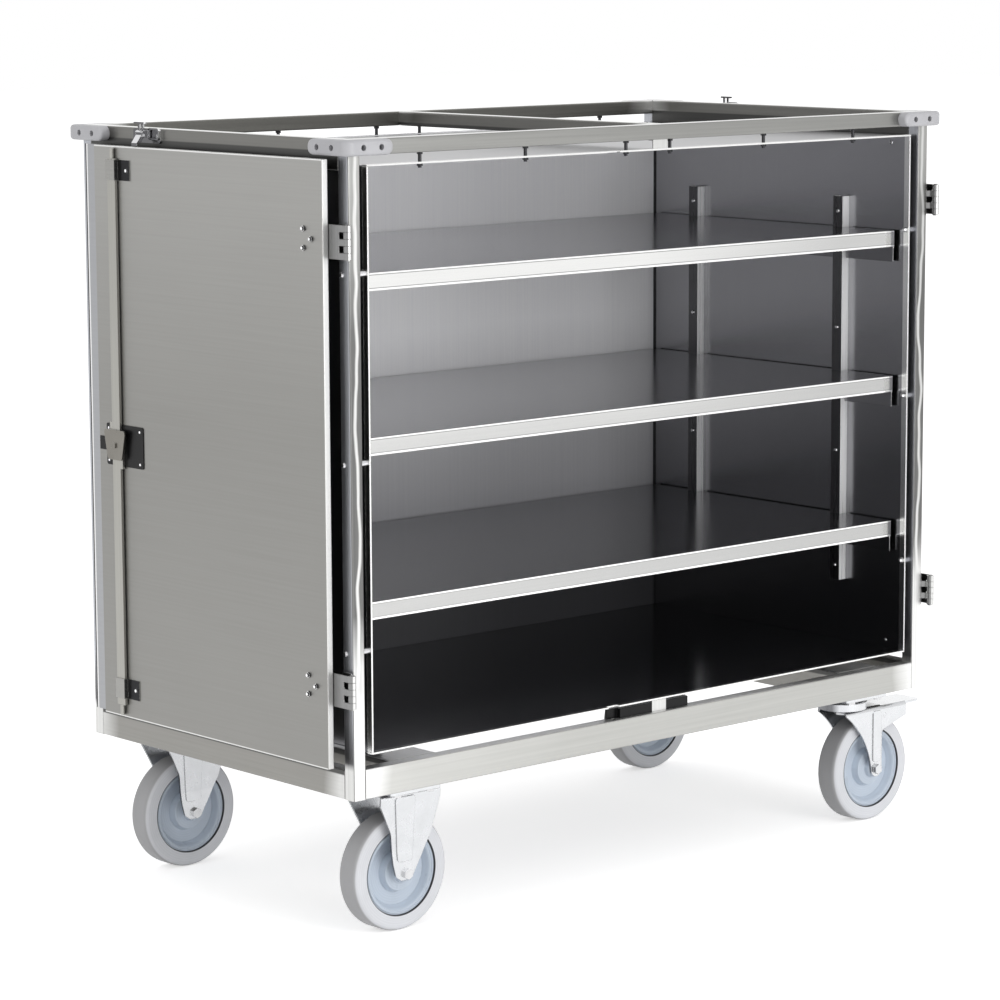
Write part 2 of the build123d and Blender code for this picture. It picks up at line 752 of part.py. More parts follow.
bumper_grip = bumper_thickness - bumper_recess_depth + 3 * tube_wall
with BuildPart() as bumper_bolts:
    for distance in (bumper_post_hole, bumper_rail_hole):
        seat_x = bumper_outer_x - bumper_recess_depth
        seat_y = bumper_outer_y - bumper_recess_depth
        heads = [
            facing(bumper_outer_x - distance, seat_y, top_rail_middle, (0, 1, 0)),
            facing(seat_x, bumper_outer_y - distance, top_rail_middle, (1, 0, 0)),
        ]
        button_screw(heads, bumper_bolt_radius, bumper_grip, *bumper_screw_head)
    mirror(about=Plane.YZ)
    mirror(about=Plane.XZ)
write_piece(bumper_bolts, "bumper_bolts")


# Hinges

hinge_bottoms = [castor_height + centre - hinge_height / 2 for centre in hinge_centres]
hinge_segment = hinge_height / hinge_segments
knuckle_height = hinge_segment - hinge_end_gap
door_segments = range(0, hinge_segments, 2)
frame_segments = range(1, hinge_segments, 2)

with BuildPart() as hinge_frame_leaves:
    for hinge_bottom in hinge_bottoms:
        with BuildSketch(Plane.XY.offset(hinge_bottom)):
            region(-half_width - hinge_leaf, -half_width, front_y + hinge_leaf, front_y + frame_leaf_reach)
        extrude(amount=hinge_height)
        for step in frame_segments:
            with BuildSketch(Plane.XY.offset(hinge_bottom + step * hinge_segment + hinge_end_gap / 2)):
                with Locations((-pin_x, pin_y)):
                    Circle(hinge_knuckle_radius)
                with BuildLine():
                    knuckle_x = hinge_knuckle_radius - pin_x
                    Polyline(
                        (knuckle_x - hinge_leaf, pin_y),
                        (knuckle_x, pin_y),
                        (knuckle_x, front_y - 2 * hinge_leaf),
                        (-half_width, front_y + hinge_leaf),
                        (-half_width, front_y + 3 * hinge_leaf),
                        (-half_width - hinge_leaf, front_y + 3 * hinge_leaf),
                        (-half_width - hinge_leaf, front_y + 1.5 * hinge_leaf),
                        (knuckle_x - hinge_leaf, front_y - 1.5 * hinge_leaf),
                        close=True,
                    )
                make_face()
            extrude(amount=knuckle_height)
        with BuildSketch(Plane.XY.offset(hinge_bottom)):
            with Locations((-pin_x, pin_y)):
                Circle(hinge_pin_radius + hinge_running_gap)
        extrude(amount=hinge_height, mode=Mode.SUBTRACT)
        with Locations((-pin_x, pin_y, hinge_bottom)):
            Cylinder(hinge_pin_radius, hinge_height, align=(Align.CENTER, Align.CENTER, Align.MIN))
            Cylinder(hinge_pin_head, hinge_pin_head_height, align=(Align.CENTER, Align.CENTER, Align.MAX))
        with Locations((-pin_x, pin_y, hinge_bottom + hinge_height)):
            resting = (Align.CENTER, Align.CENTER, Align.MIN)
            Cone(hinge_pin_head, hinge_pin_radius, hinge_pin_head_height, align=resting)
    mirror(about=Plane.YZ)
write_piece(hinge_frame_leaves, "hinge_frame_leaves")

with BuildPart() as left_door_leaves:
    for hinge_bottom in hinge_bottoms:
        leaf_x = door_outer_x - hinge_leaf
        with BuildSketch(Plane.XY.offset(hinge_bottom)):
            region(-door_outer_x, -leaf_x, pin_y, pin_y + door_leaf_reach)
        extrude(amount=hinge_height)
        for step in frame_segments:
            with BuildSketch(Plane.XY.offset(hinge_bottom + step * hinge_segment - hinge_end_gap / 2)):
                region(-door_outer_x - 1, -leaf_x + 1, pin_y, pin_y + hinge_notch_reach)
            extrude(amount=hinge_segment + hinge_end_gap, mode=Mode.SUBTRACT)
        for step in door_segments:
            with BuildSketch(Plane.XY.offset(hinge_bottom + step * hinge_segment + hinge_end_gap / 2)):
                with Locations((-pin_x, pin_y)):
                    Circle(hinge_knuckle_radius)
            extrude(amount=knuckle_height)
        with BuildSketch(Plane.XY.offset(hinge_bottom)):
            with Locations((-pin_x, pin_y)):
                Circle(hinge_pin_radius + hinge_running_gap)
        extrude(amount=hinge_height, mode=Mode.SUBTRACT)
        for reach, rise in hinge_bolt_spots:
            level = hinge_bottom + hinge_height / 2 + rise
            with Locations(facing(-leaf_x, pin_y + reach, level, (1, 0, 0))):
                Hole(hinge_bolt_radius + bolt_clearance, depth=2 * hinge_leaf)
write_piece(left_door_leaves, "left_door_leaves")

with BuildPart() as right_door_leaves:
    mirror(left_door_leaves.part, about=Plane.YZ)
write_piece(right_door_leaves, "right_door_leaves")

with BuildPart() as left_door_bolts:
    for hinge_bottom in hinge_bottoms:
        for reach, rise in hinge_bolt_spots:
            level = hinge_bottom + hinge_height / 2 + rise
            head = facing(hinge_leaf - door_outer_x, pin_y + reach, level, (1, 0, 0))
            button_screw([head], hinge_bolt_radius, hinge_leaf + door_thickness, *hinge_bolt_head)
            dome_nut([facing(-door_inner_x, pin_y + reach, level, (-1, 0, 0))], *hinge_bolt_nut)
write_piece(left_door_bolts, "left_door_bolts")

with BuildPart() as right_door_bolts:
    mirror(left_door_bolts.part, about=Plane.YZ)
write_piece(right_door_bolts, "right_door_bolts")


# Doors, drawn open along the frame's sides

guide_levels = (door_bottom + guide_bottom_inset, door_top - guide_top_inset - guide_height)
guide_screw_y = lock_y - guide_tab + lock_screw_inset
plate_middle_y = lock_y - lock_plate_shift
plate_screw_y = lock_plate_width / 2 - lock_screw_inset
plate_screw_z = lock_plate_height / 2 - lock_screw_inset
plate_screws = [
    (plate_middle_y + side_y * plate_screw_y, lock_z + side_z * plate_screw_z)
    for side_y in (-1, 1)
    for side_z in (-1, 1)
]


def door_section(side_x, body_end, level, inset):
    """The section of a door's folded body at a level, drawn in by an inset."""
    middle_y = (door_edge_y + front_y + body_end) / 2
    body_length = front_y + body_end - door_edge_y
    with BuildSketch(Plane.XY.offset(level)) as section:
        with Locations((side_x * (door_outer_x + door_thickness / 2), middle_y)):
            RectangleRounded(door_thickness - 2 * inset, body_length - 2 * inset, door_corner - inset)
    return section.sketch


def door_body(side_x, body_end):
    """Add a door's closed body, folded from sheet and hollow inside."""
    height = door_top - door_bottom
    extrude(door_section(side_x, body_end, door_bottom, 0), amount=height)
    void = door_section(side_x, body_end, door_bottom + door_skin, door_skin)
    extrude(void, amount=height - 2 * door_skin, mode=Mode.SUBTRACT)


def hinge_bolt_holes(side_x):
    """Cut the hinge bolts' holes through the door at hand."""
    for hinge_bottom in hinge_bottoms:
        for reach, rise in hinge_bolt_spots:
            level = hinge_bottom + hinge_height / 2 + rise
            with Locations(facing(side_x * door_inner_x, pin_y + reach, level, (side_x, 0, 0))):
                Hole(hinge_bolt_radius + bolt_clearance, depth=door_thickness + 1)


with BuildPart() as left_door:
    door_body(-1, left_door_body)
    with BuildSketch(Plane.XY.offset(door_bottom)):
        lip_start = front_y + left_door_body - 2 * door_corner
        region(-door_outer_x - door_lip, -door_outer_x, lip_start, front_y + left_door_lip)
    extrude(amount=door_top - door_bottom)
    hinge_bolt_holes(-1)
    with Locations(facing(-door_inner_x, lock_y, lock_z, (-1, 0, 0))):
        Hole(spindle_radius + spindle_gap, depth=door_thickness + 1)
    for spot_y, spot_z in plate_screws:
        with Locations(facing(-door_inner_x, spot_y, spot_z, (-1, 0, 0))):
            Hole(lock_screw_radius + bolt_clearance, depth=door_thickness / 2)
    for level in guide_levels:
        with Locations(facing(-door_inner_x, guide_screw_y, level + guide_height / 2, (-1, 0, 0))):
            Hole(lock_screw_radius + bolt_clearance, depth=door_thickness / 2)
write_piece(left_door, "left_door")

with BuildPart() as right_door:
    door_body(1, right_door_body)
    with BuildSketch(Plane.XY.offset(door_bottom)):
        lip_start = front_y + right_door_body - 2 * door_corner
        region(door_inner_x - door_lip, door_inner_x, lip_start, front_y + right_door_lip)
    extrude(amount=door_top - door_bottom)
    hinge_bolt_holes(1)
write_piece(right_door, "right_door")


# Rod lock

with BuildPart() as lock_base_plate:
    with BuildSketch(Plane.YZ.offset(-door_inner_x - lock_plate)):
        with Locations((plate_middle_y, lock_z)):
            RectangleRounded(lock_plate_width, lock_plate_height, lock_plate_corner)
        tab_start = plate_middle_y + lock_plate_width / 2 - lock_plate_corner
        tab_end = plate_middle_y + lock_plate_width / 2 + lock_tab_width
        region(tab_start, tab_end, lock_z - lock_tab_height / 2, lock_z + lock_tab_height / 2)
        with Locations((lock_y, lock_z)):
            Circle(spindle_radius + spindle_gap, mode=Mode.SUBTRACT)
        with Locations(*plate_screws):
            Circle(lock_screw_radius + bolt_clearance, mode=Mode.SUBTRACT)
    extrude(amount=lock_plate)
write_piece(lock_base_plate, "lock_base_plate")

with BuildPart() as rod_guides:
    for level in guide_levels:
        with BuildSketch(Plane.XY.offset(level)):
            side_reach = rod_width / 2 + guide_gap
            near_x = rod_inner_x - guide_gap
            far_x = rod_outer_x + guide_gap
            wrap_reach = side_reach + guide_sheet
            region(-far_x - guide_sheet, -door_inner_x, lock_y - wrap_reach, lock_y + wrap_reach)
            region(-far_x, -near_x, lock_y - side_reach, lock_y + side_reach, mode=Mode.SUBTRACT)
            region(-door_inner_x - guide_sheet, -door_inner_x, lock_y - guide_tab, lock_y - side_reach)
        extrude(amount=guide_height)
        screw_level = level + guide_height / 2
        with Locations(facing(-door_inner_x - guide_sheet, guide_screw_y, screw_level, (-1, 0, 0))):
            Hole(lock_screw_radius + bolt_clearance, depth=2 * guide_sheet)
write_piece(rod_guides, "rod_guides")

with BuildPart() as lock_screws:
    plate_seat_x = -door_inner_x - lock_plate
    plate_heads = [facing(plate_seat_x, spot_y, spot_z, (-1, 0, 0)) for spot_y, spot_z in plate_screws]
    button_screw(plate_heads, lock_screw_radius, lock_plate + door_thickness / 3, *plate_screw_head)
    guide_seat_x = -door_inner_x - guide_sheet
    guide_heads = [
        facing(guide_seat_x, guide_screw_y, level + guide_height / 2, (-1, 0, 0))
        for level in guide_levels
    ]
    button_screw(guide_heads, lock_screw_radius, guide_sheet + door_thickness / 3, *guide_screw_head)
write_piece(lock_screws, "lock_screws")


def lock_rod(name, way, tip_z):
    """One rod of the lock, up (way 1) or down (way -1), with its hooked foot and round tip."""
    tip_start = tip_z - way * rod_tip_length
    leg_inner = spindle_radius + rod_leg_gap
    pin_level = lock_z - way * crank_drop
    slot_reach = crank_pin_radius + crank_slot_gap
    foot_end = pin_level - way * (slot_reach + crank_hook)
    with BuildPart() as rod:
        with BuildSketch(Plane.YZ.offset(-rod_outer_x)):
            region(lock_y - rod_width / 2, lock_y + rod_width / 2, lock_z + way * rod_foot_start, tip_start)
            leg_outer = leg_inner + rod_leg_width
            region(lock_y + way * leg_inner, lock_y + way * leg_outer, foot_end, lock_z + way * rod_lug_top)
            slot_end = crank_radius + slot_reach
            region(
                lock_y + way * (leg_inner - 1),
                lock_y + way * slot_end,
                pin_level - slot_reach,
                pin_level + slot_reach,
                mode=Mode.SUBTRACT,
            )
        extrude(amount=rod_thickness)
        with BuildSketch(Plane.XY.offset(tip_start)):
            with Locations((-rod_middle_x, lock_y)):
                Circle(rod_tip_radius)
        extrude(amount=way * rod_tip_length)
        chamfer(rod.faces().sort_by(Axis.Z)[-1 if way > 0 else 0].edges(), length=rod_tip_chamfer)
    write_piece(rod, name)


lock_rod("lock_rod_upper", 1, top_rail_bottom - rod_retreat)
lock_rod("lock_rod_lower", -1, base_top + rod_retreat)

with BuildPart() as lock_rotor:
    with BuildSketch(Plane.YZ.offset(-rotor_inner_x - rotor_thickness)) as rotor_face:
        with BuildLine():
            Polyline(
                (lock_y - rotor_top_width / 2, lock_z + rotor_top_reach),
                (lock_y + rotor_top_width / 2, lock_z + rotor_top_reach),
                (lock_y + rotor_bottom_width / 2, lock_z - rotor_bottom_reach),
                (lock_y - rotor_bottom_width / 2, lock_z - rotor_bottom_reach),
                close=True,
            )
        make_face()
        fillet(rotor_face.vertices(), radius=rotor_corner)
    extrude(amount=rotor_thickness)
    with BuildSketch(Plane.YZ.offset(-rotor_inner_x)):
        for way in (-1, 1):
            with Locations((lock_y + way * crank_side, lock_z - way * crank_drop)):
                Circle(crank_pin_radius)
    extrude(amount=rotor_inner_x - rod_inner_x)
    with BuildSketch(Plane.YZ.offset(-rotor_inner_x)):
        with Locations((lock_y, lock_z)):
            Circle(spindle_radius)
    extrude(amount=rotor_inner_x - door_outer_x + handle_gap)
    with BuildSketch(Plane.YZ.offset(-rotor_inner_x - rotor_thickness - rotor_screw_height)):
        with Locations((lock_y, lock_z)):
            RectangleRounded(rotor_screw_size, rotor_screw_size, rotor_screw_corner)
    extrude(amount=rotor_screw_height)
write_piece(lock_rotor, "lock_rotor")

handle_start = handle_gap - door_outer_x
with BuildPart() as lock_handle:
    with BuildSketch(Plane.YZ.offset(handle_start)):
        with Locations((lock_y, lock_z)):
            Circle(handle_neck_radius)
    extrude(amount=handle_neck_length)
    with BuildSketch(Plane.YZ.offset(handle_start + handle_neck_length)):
        with Locations((lock_y - (handle_length - handle_width / 2) / 2, lock_z)):
            SlotCenterToCenter(handle_length - handle_width / 2, handle_width)
    extrude(amount=handle_thickness)
    fillet(lock_handle.faces().sort_by(Axis.X)[-1].edges(), radius=handle_edge)
write_piece(lock_handle, "lock_handle")


# Strike block and stops

strike_front_y = front_y + strike_front_inset
stop_middle_x = stop_centre - half_width
stop_left = stop_middle_x - stop_width / 2
stop_right = stop_middle_x + stop_width / 2

with BuildPart() as door_strike:
    with BuildSketch(Plane.XY.offset(base_top)):
        strike_back_y = strike_front_y + strike_depth
        region(strike_left - half_width, strike_right - half_width, strike_front_y, strike_back_y)
        notch_left = rod_closed_x - notch_half_width
        notch_right = rod_closed_x + notch_half_width
        region(notch_left, notch_right, front_y, notch_back_y, mode=Mode.SUBTRACT)
        recess_left = stop_left - stop_side_gap
        recess_right = stop_right + stop_side_gap
        region(recess_left, recess_right, front_y, strike_front_y + stop_sheet, mode=Mode.SUBTRACT)
    extrude(amount=strike_height)
write_piece(door_strike, "door_strike")

with BuildPart() as door_stops:
    with BuildSketch(Plane.XZ.offset(-strike_front_y)):
        region(stop_left, stop_right, base_top, base_top + stop_height)
        region(stop_left, stop_right, top_rail_bottom - upper_stop_drop, top_rail_bottom)
    extrude(amount=-stop_sheet)
    with BuildSketch(Plane.XY.offset(top_rail_bottom - stop_sheet)):
        region(stop_left, stop_right, strike_front_y, strike_front_y + upper_stop_foot)
    extrude(amount=stop_sheet)
write_piece(door_stops, "door_stops")


# Hold-back catches

catch_pivot_x = half_width + catch_pivot_out
catch_pivot_z = frame_top - catch_pivot_drop
ear_start = catch_lever_width / 2 + catch_side_gap
ring_start = ear_start + catch_ear

with BuildPart() as catch_brackets:
    with BuildSketch(Plane.YZ.offset(-half_width - catch_plate_thickness)):
        with Locations((catch_y, top_rail_middle)):
            RectangleRounded(catch_plate_length, catch_plate_height, catch_plate_corner)
        for side in (-1, 1):
            with Locations((catch_y + side * catch_screw_y, top_rail_middle)):
                Circle(lock_screw_radius + bolt_clearance, mode=Mode.SUBTRACT)
    extrude(amount=catch_plate_thickness)
    for start in (ear_start, -ear_start - catch_ear):
        with BuildSketch(Plane.XZ.offset(-catch_y - start)):
            ear_bottom = catch_pivot_z - catch_ear_radius
            ear_top = catch_pivot_z + catch_ear_radius
            region(-catch_pivot_x, -half_width - catch_plate_thickness, ear_bottom, ear_top)
            with Locations((-catch_pivot_x, catch_pivot_z)):
                Circle(catch_ear_radius)
        extrude(amount=-catch_ear)
    with BuildSketch(Plane.XZ.offset(-catch_y)):
        with Locations((-catch_pivot_x, catch_pivot_z)):
            Circle(catch_pin_radius)
    extrude(amount=ear_start + catch_ear, both=True)
    ring_x = half_width + catch_ring_standoff
    with BuildSketch(Plane.YZ.offset(-ring_x - catch_ring_bar)):
        with Locations((catch_y - ring_start - catch_ring_length / 2, catch_pivot_z)):
            RectangleRounded(catch_ring_length, catch_ring_height, catch_ring_corner)
            inner_length = catch_ring_length - 2 * catch_ring_bar
            inner_height = catch_ring_height - 2 * catch_ring_bar
            inner_corner = catch_ring_corner - catch_ring_bar
            RectangleRounded(inner_length, inner_height, inner_corner, mode=Mode.SUBTRACT)
    extrude(amount=catch_ring_bar)
    mirror(about=Plane.YZ)

with BuildPart() as catch_screws:
    for side in (-1, 1):
        seat_x = -half_width - catch_plate_thickness
        seat = facing(seat_x, catch_y + side * catch_screw_y, top_rail_middle, (-1, 0, 0))
        button_screw([seat], lock_screw_radius, catch_plate_thickness + 2 * tube_wall, *catch_screw_head)
    mirror(about=Plane.YZ)
write_group((catch_brackets, catch_screws), "catch_brackets")

nose_bottom = door_top + catch_door_gap
with BuildPart() as left_catch_lever:
    with BuildSketch(Plane.XZ.offset(-catch_y)):
        with Locations((-catch_pivot_x, catch_pivot_z)):
            Circle(catch_boss_radius)
        tab_reach = catch_tab_thickness / 2
        tab_top = catch_pivot_z + catch_tab_height
        region(-catch_pivot_x - tab_reach, -catch_pivot_x + tab_reach, catch_pivot_z, tab_top)
        with BuildLine():
            nose_x = -catch_pivot_x - catch_nose_out
            Polyline(
                (-catch_pivot_x, catch_pivot_z + catch_boss_radius),
                (nose_x - catch_nose_width / 2, nose_bottom + catch_nose_width),
                (nose_x - catch_nose_width / 2, nose_bottom),
                (nose_x + catch_nose_width / 2, nose_bottom),
                (-catch_pivot_x, catch_pivot_z - catch_boss_radius),
                close=True,
            )
        make_face()
        with Locations((-catch_pivot_x, catch_pivot_z)):
            Circle(catch_pin_radius + hinge_running_gap, mode=Mode.SUBTRACT)
    extrude(amount=catch_lever_width / 2, both=True)
    slot_bottom = catch_pivot_z + catch_boss_radius
    with BuildSketch(Plane.YZ.offset(-catch_pivot_x - catch_boss_radius)):
        region(catch_y - catch_lever_slot / 2, catch_y + catch_lever_slot / 2, slot_bottom, tab_top)
    extrude(amount=2 * catch_boss_radius, mode=Mode.SUBTRACT)
    with BuildSketch(Plane.XY.offset(catch_pivot_z + catch_tab_height - catch_tab_thickness)):
        with Locations((-catch_pivot_x - catch_cap_width / 2 + tab_reach, catch_y)):
            RectangleRounded(catch_cap_width, catch_cap_length, 3.0)
    extrude(amount=catch_tab_thickness)
write_piece(left_catch_lever, "left_catch_lever")

with BuildPart() as right_catch_lever:
    mirror(left_catch_lever.part, about=Plane.YZ)
write_piece(right_catch_lever, "right_catch_lever")


# Castors

def side_view(middle_x, middle_y):
    """An upright plane at a wheel's axle, looking along Y, with X across and Z up."""
    return Plane(origin=(middle_x, middle_y, axle_z), x_dir=(1, 0, 0), z_dir=(0, -1, 0))


def wheel(name, middle_x, middle_y):
    """A wheel's dished rim and its tyre, turned about the axle."""
    axle_line = Axis((middle_x, middle_y, axle_z), (0, 1, 0))
    section = Plane(origin=(middle_x, middle_y, axle_z), x_dir=(0, 1, 0), z_dir=(-1, 0, 0))
    with BuildPart() as rim:
        with BuildSketch(section):
            with BuildLine():
                Polyline(
                    (0, axle_radius + axle_running_gap),
                    (boss_width / 2, axle_radius + axle_running_gap),
                    (boss_width / 2, boss_radius - 1),
                    (boss_width / 2 - 2, boss_radius),
                    (hub_width / 2, boss_radius + 1),
                    (hub_width / 2 - 3, hub_radius),
                    (dish_web / 2, hub_radius + 4),
                    (dish_web / 2, dish_radius - 6),
                    (rim_width / 2 - 2, dish_radius),
                    (rim_width / 2, dish_radius + 2),
                    (rim_width / 2, rim_radius),
                    (0, rim_radius),
                    close=True,
                )
            make_face()
            mirror(about=Plane.YZ)
        revolve(axis=axle_line)
    write_piece(rim, f"{name}_rim")
    with BuildPart() as tyre:
        with BuildSketch(section) as tyre_half:
            region(-wheel_width / 2, wheel_width / 2, rim_radius, wheel_radius)
            fillet(tyre_half.vertices().sort_by(Axis.Y)[-2:], radius=tyre_shoulder)
        revolve(axis=axle_line)
    write_piece(tyre, f"{name}_tyre")


for name, wheel_x, wheel_y in (
    ("fixed_front", -castor_x, -castor_y),
    ("fixed_rear", -castor_x, castor_y),
    ("swivel_front", swivel_wheel_x, -castor_y),
    ("swivel_rear", swivel_wheel_x, castor_y),
):
    wheel(name, wheel_x, wheel_y)


def fork_arch(middle_y, start_x, end_x, crown_top):
    """A bent inverted U running along X, before its outline is cut."""
    leg_height = crown_top - axle_z + fork_boss_radius
    with BuildPart() as arch:
        with BuildSketch(Plane.YZ.offset(start_x)):
            with Locations((middle_y, crown_top)):
                Rectangle(fork_width, leg_height, align=(Align.CENTER, Align.MAX))
        extrude(amount=end_x - start_x)
        fillet(arch.edges().filter_by(Axis.X).group_by(Axis.Z)[-1], radius=fork_bend)
        inner = fork_width - 2 * fork_sheet
        with BuildSketch(Plane.YZ.offset(start_x)):
            with Locations((middle_y, crown_top - fork_sheet)):
                Rectangle(inner, leg_height, align=(Align.CENTER, Align.MAX))
        extrude(amount=end_x - start_x, mode=Mode.SUBTRACT)
    return arch.part


def axle_bolt(middle_x, middle_y):
    """Add a wheel's axle bolt, with its head and nut against the fork's legs."""
    with Locations(facing(middle_x, middle_y, axle_z, (0, -1, 0))):
        Cylinder(axle_radius, fork_width + 2 * axle_head_height)
    for way in (-1, 1):
        with BuildSketch(facing(middle_x, middle_y + way * fork_width / 2, axle_z, (0, way, 0))) as end:
            RegularPolygon(axle_head_radius, 6)
        extrude(end.sketch, amount=axle_head_height)


# Fixed castors, on the left, with legs that spread towards the plate

crown = plate_bottom - axle_z


def splayed_arch(proud):
    """The fixed fork's folded section along X, its outer faces moved out by a little."""
    with BuildPart() as arch:
        for spread, top in ((proud, crown), (-fork_sheet, crown - fork_sheet)):
            crown_half = fixed_crown_width / 2 + spread
            foot_half = fork_width / 2 + spread
            section = Plane(
                origin=(-castor_x - fixed_fork_front, -castor_y, axle_z),
                x_dir=(0, 1, 0),
                z_dir=(1, 0, 0),
            )
            with BuildSketch(section) as profile:
                with BuildLine():
                    Polyline(
                        (-crown_half, top),
                        (-foot_half, fixed_knee),
                        (-foot_half, -fork_boss_radius),
                        (foot_half, -fork_boss_radius),
                        (foot_half, fixed_knee),
                        (crown_half, top),
                        close=True,
                    )
                make_face()
                if spread >= 0:
                    fillet(profile.vertices().group_by(Axis.Z)[-1], radius=fork_bend)
            depth = fixed_fork_front + fixed_fork_back
            extrude(profile.sketch, amount=depth, mode=Mode.ADD if spread >= 0 else Mode.SUBTRACT)
    return arch.part


with BuildPart() as fixed_ribs:
    with BuildSketch(side_view(-castor_x, -castor_y)) as rib:
        with BuildLine():
            rib_top = crown - fork_bend
            Polyline((fixed_rib_left, rib_top), (fixed_rib_right, rib_top), *fixed_rib_foot, close=True)
        make_face()
        fillet(rib.vertices(), radius=rib_corner)
    extrude(amount=fixed_crown_width, both=True)
    add(splayed_arch(fork_rib_proud), mode=Mode.INTERSECT)

with BuildPart() as fixed_castor_forks:
    with BuildSketch(side_view(-castor_x, -castor_y)) as outline:
        with BuildLine():
            Polyline(
                (-fixed_fork_front, crown),
                (-fixed_fork_front, crown - fixed_fork_skirt),
                *fixed_leg_left,
                *fixed_leg_right,
                (fixed_fork_back, crown - fixed_fork_skirt),
                (fixed_fork_back, crown),
                close=True,
            )
        make_face()
        for corner, bend in zip(fixed_leg_left, fixed_leg_bends):
            fillet(outline.vertices().sort_by_distance(corner)[0], radius=bend)
        Circle(fork_boss_radius)
    extrude(amount=fixed_crown_width, both=True)
    add(splayed_arch(0), mode=Mode.INTERSECT)
    add(fixed_ribs.part)
    with BuildSketch(Plane.XY.offset(plate_bottom)):
        with Locations((-castor_x, -castor_y)):
            RectangleRounded(castor_plate_width, castor_plate_length, castor_plate_corner)
    extrude(amount=castor_plate_thickness)
    for column in castor_bolt_columns:
        for row in (castor_outer_row, castor_inner_row):
            with Locations(facing(-column, -row, castor_height, (0, 0, 1))):
                Hole(castor_bolt_radius + bolt_clearance, depth=castor_plate_thickness + 1)
    with Locations(Plane(origin=(-castor_x, -castor_y - fork_width, axle_z), z_dir=(0, -1, 0))):
        Hole(axle_radius + axle_running_gap, depth=2 * fork_width)
    mirror(about=Plane.XZ)
write_piece(fixed_castor_forks, "fixed_castor_forks")


# Swivel castors, on the right, with their wheels trailing outwards

crown_height = swivel_crown_top - axle_z
race_bottom = plate_bottom - swivel_race_height


def swivel_fork(name, middle_y):
    """The turning half of a swivel castor: race, pressed fork and axle bolt."""
    with BuildPart() as fork:
        fork_start = swivel_wheel_x - swivel_crown_front
        fork_end = swivel_wheel_x + swivel_crown_back
        add(fork_arch(middle_y, fork_start, fork_end, swivel_crown_top))
        with BuildSketch(side_view(swivel_wheel_x, middle_y)) as outline:
            with BuildLine():
                skirt = crown_height - swivel_crown_skirt
                front = ThreePointArc((-swivel_crown_front, skirt), swivel_leg_bow, (-fork_boss_radius, 0))
                Polyline(
                    front @ 1,
                    (fork_boss_radius, 0),
                    swivel_flange_root,
                    (swivel_crown_back, swivel_flange_bottom),
                    (swivel_crown_back, crown_height),
                    (-swivel_crown_front, crown_height),
                    front @ 0,
                )
            make_face()
            fillet(outline.vertices().sort_by_distance(swivel_flange_root)[0], radius=swivel_flange_bend)
            Circle(fork_boss_radius)
        extrude(amount=fork_width, both=True, mode=Mode.INTERSECT)
        with BuildSketch(Plane.XY.offset(swivel_crown_top - fork_sheet - 1)):
            inner = fork_width / 2 - fork_sheet
            region(swivel_wheel_x + fork_boss_radius, fork_end + 1, middle_y - inner, middle_y + inner)
        extrude(amount=fork_sheet + 2, mode=Mode.SUBTRACT)
        for way in (-1, 1):
            face_y = middle_y + way * fork_width / 2
            with BuildSketch(side_view(swivel_wheel_x, face_y)):
                with Locations((0, (swivel_rib_bottom + crown_height - fork_bend) / 2)):
                    rib_height = crown_height - fork_bend - swivel_rib_bottom
                    RectangleRounded(swivel_rib_width, rib_height, rib_corner)
            extrude(amount=-way * fork_rib_proud)
        with BuildSketch(Plane.XY.offset(swivel_crown_top)):
            with Locations((castor_x, middle_y)):
                Circle(swivel_head_radius)
        extrude(amount=race_bottom - swivel_gap - swivel_crown_top)
        with Locations((castor_x, middle_y, race_bottom)):
            Hole(king_pin_radius + axle_running_gap, depth=swivel_head_drop)
        with Locations(facing(swivel_wheel_x, middle_y - fork_width, axle_z, (0, -1, 0))):
            Hole(axle_radius + axle_running_gap, depth=2 * fork_width)
        pivot_x = swivel_wheel_x + pedal_pivot_x
        with Locations(facing(pivot_x, middle_y - fork_width, axle_z + pedal_pivot_z, (0, -1, 0))):
            Hole(pedal_pin_radius + axle_running_gap, depth=2 * fork_width)
    with BuildPart() as axle:
        axle_bolt(swivel_wheel_x, middle_y)
    write_group((fork, axle), name)


swivel_fork("swivel_fork_front", -castor_y)
swivel_fork("swivel_fork_rear", castor_y)

with BuildPart() as swivel_top_plates:
    with BuildSketch(Plane.XY.offset(plate_bottom)):
        with Locations((castor_x, -castor_y)):
            RectangleRounded(castor_plate_width, castor_plate_length, castor_plate_corner)
    extrude(amount=castor_plate_thickness)
    with BuildSketch(Plane.XY.offset(plate_bottom)):
        with Locations((castor_x, -castor_y)):
            Circle(swivel_race_radius)
    extrude(amount=-swivel_race_height, taper=swivel_race_taper)
    for column in castor_bolt_columns:
        for row in (castor_outer_row, castor_inner_row):
            with Locations(facing(column, -row, castor_height, (0, 0, 1))):
                Hole(castor_bolt_radius + bolt_clearance, depth=castor_plate_thickness + 1)
    pin_end = swivel_crown_top - fork_sheet - swivel_gap
    with Locations((castor_x, -castor_y, race_bottom)):
        Cylinder(king_pin_radius, race_bottom - pin_end, align=(Align.CENTER, Align.CENTER, Align.MAX))
    with BuildSketch(Plane.XY.offset(pin_end)):
        with Locations((castor_x, -castor_y)):
            RegularPolygon(king_pin_head_radius, 6)
    extrude(amount=-king_pin_head_height)
    mirror(about=Plane.XZ)
write_piece(swivel_top_plates, "swivel_top_plates")

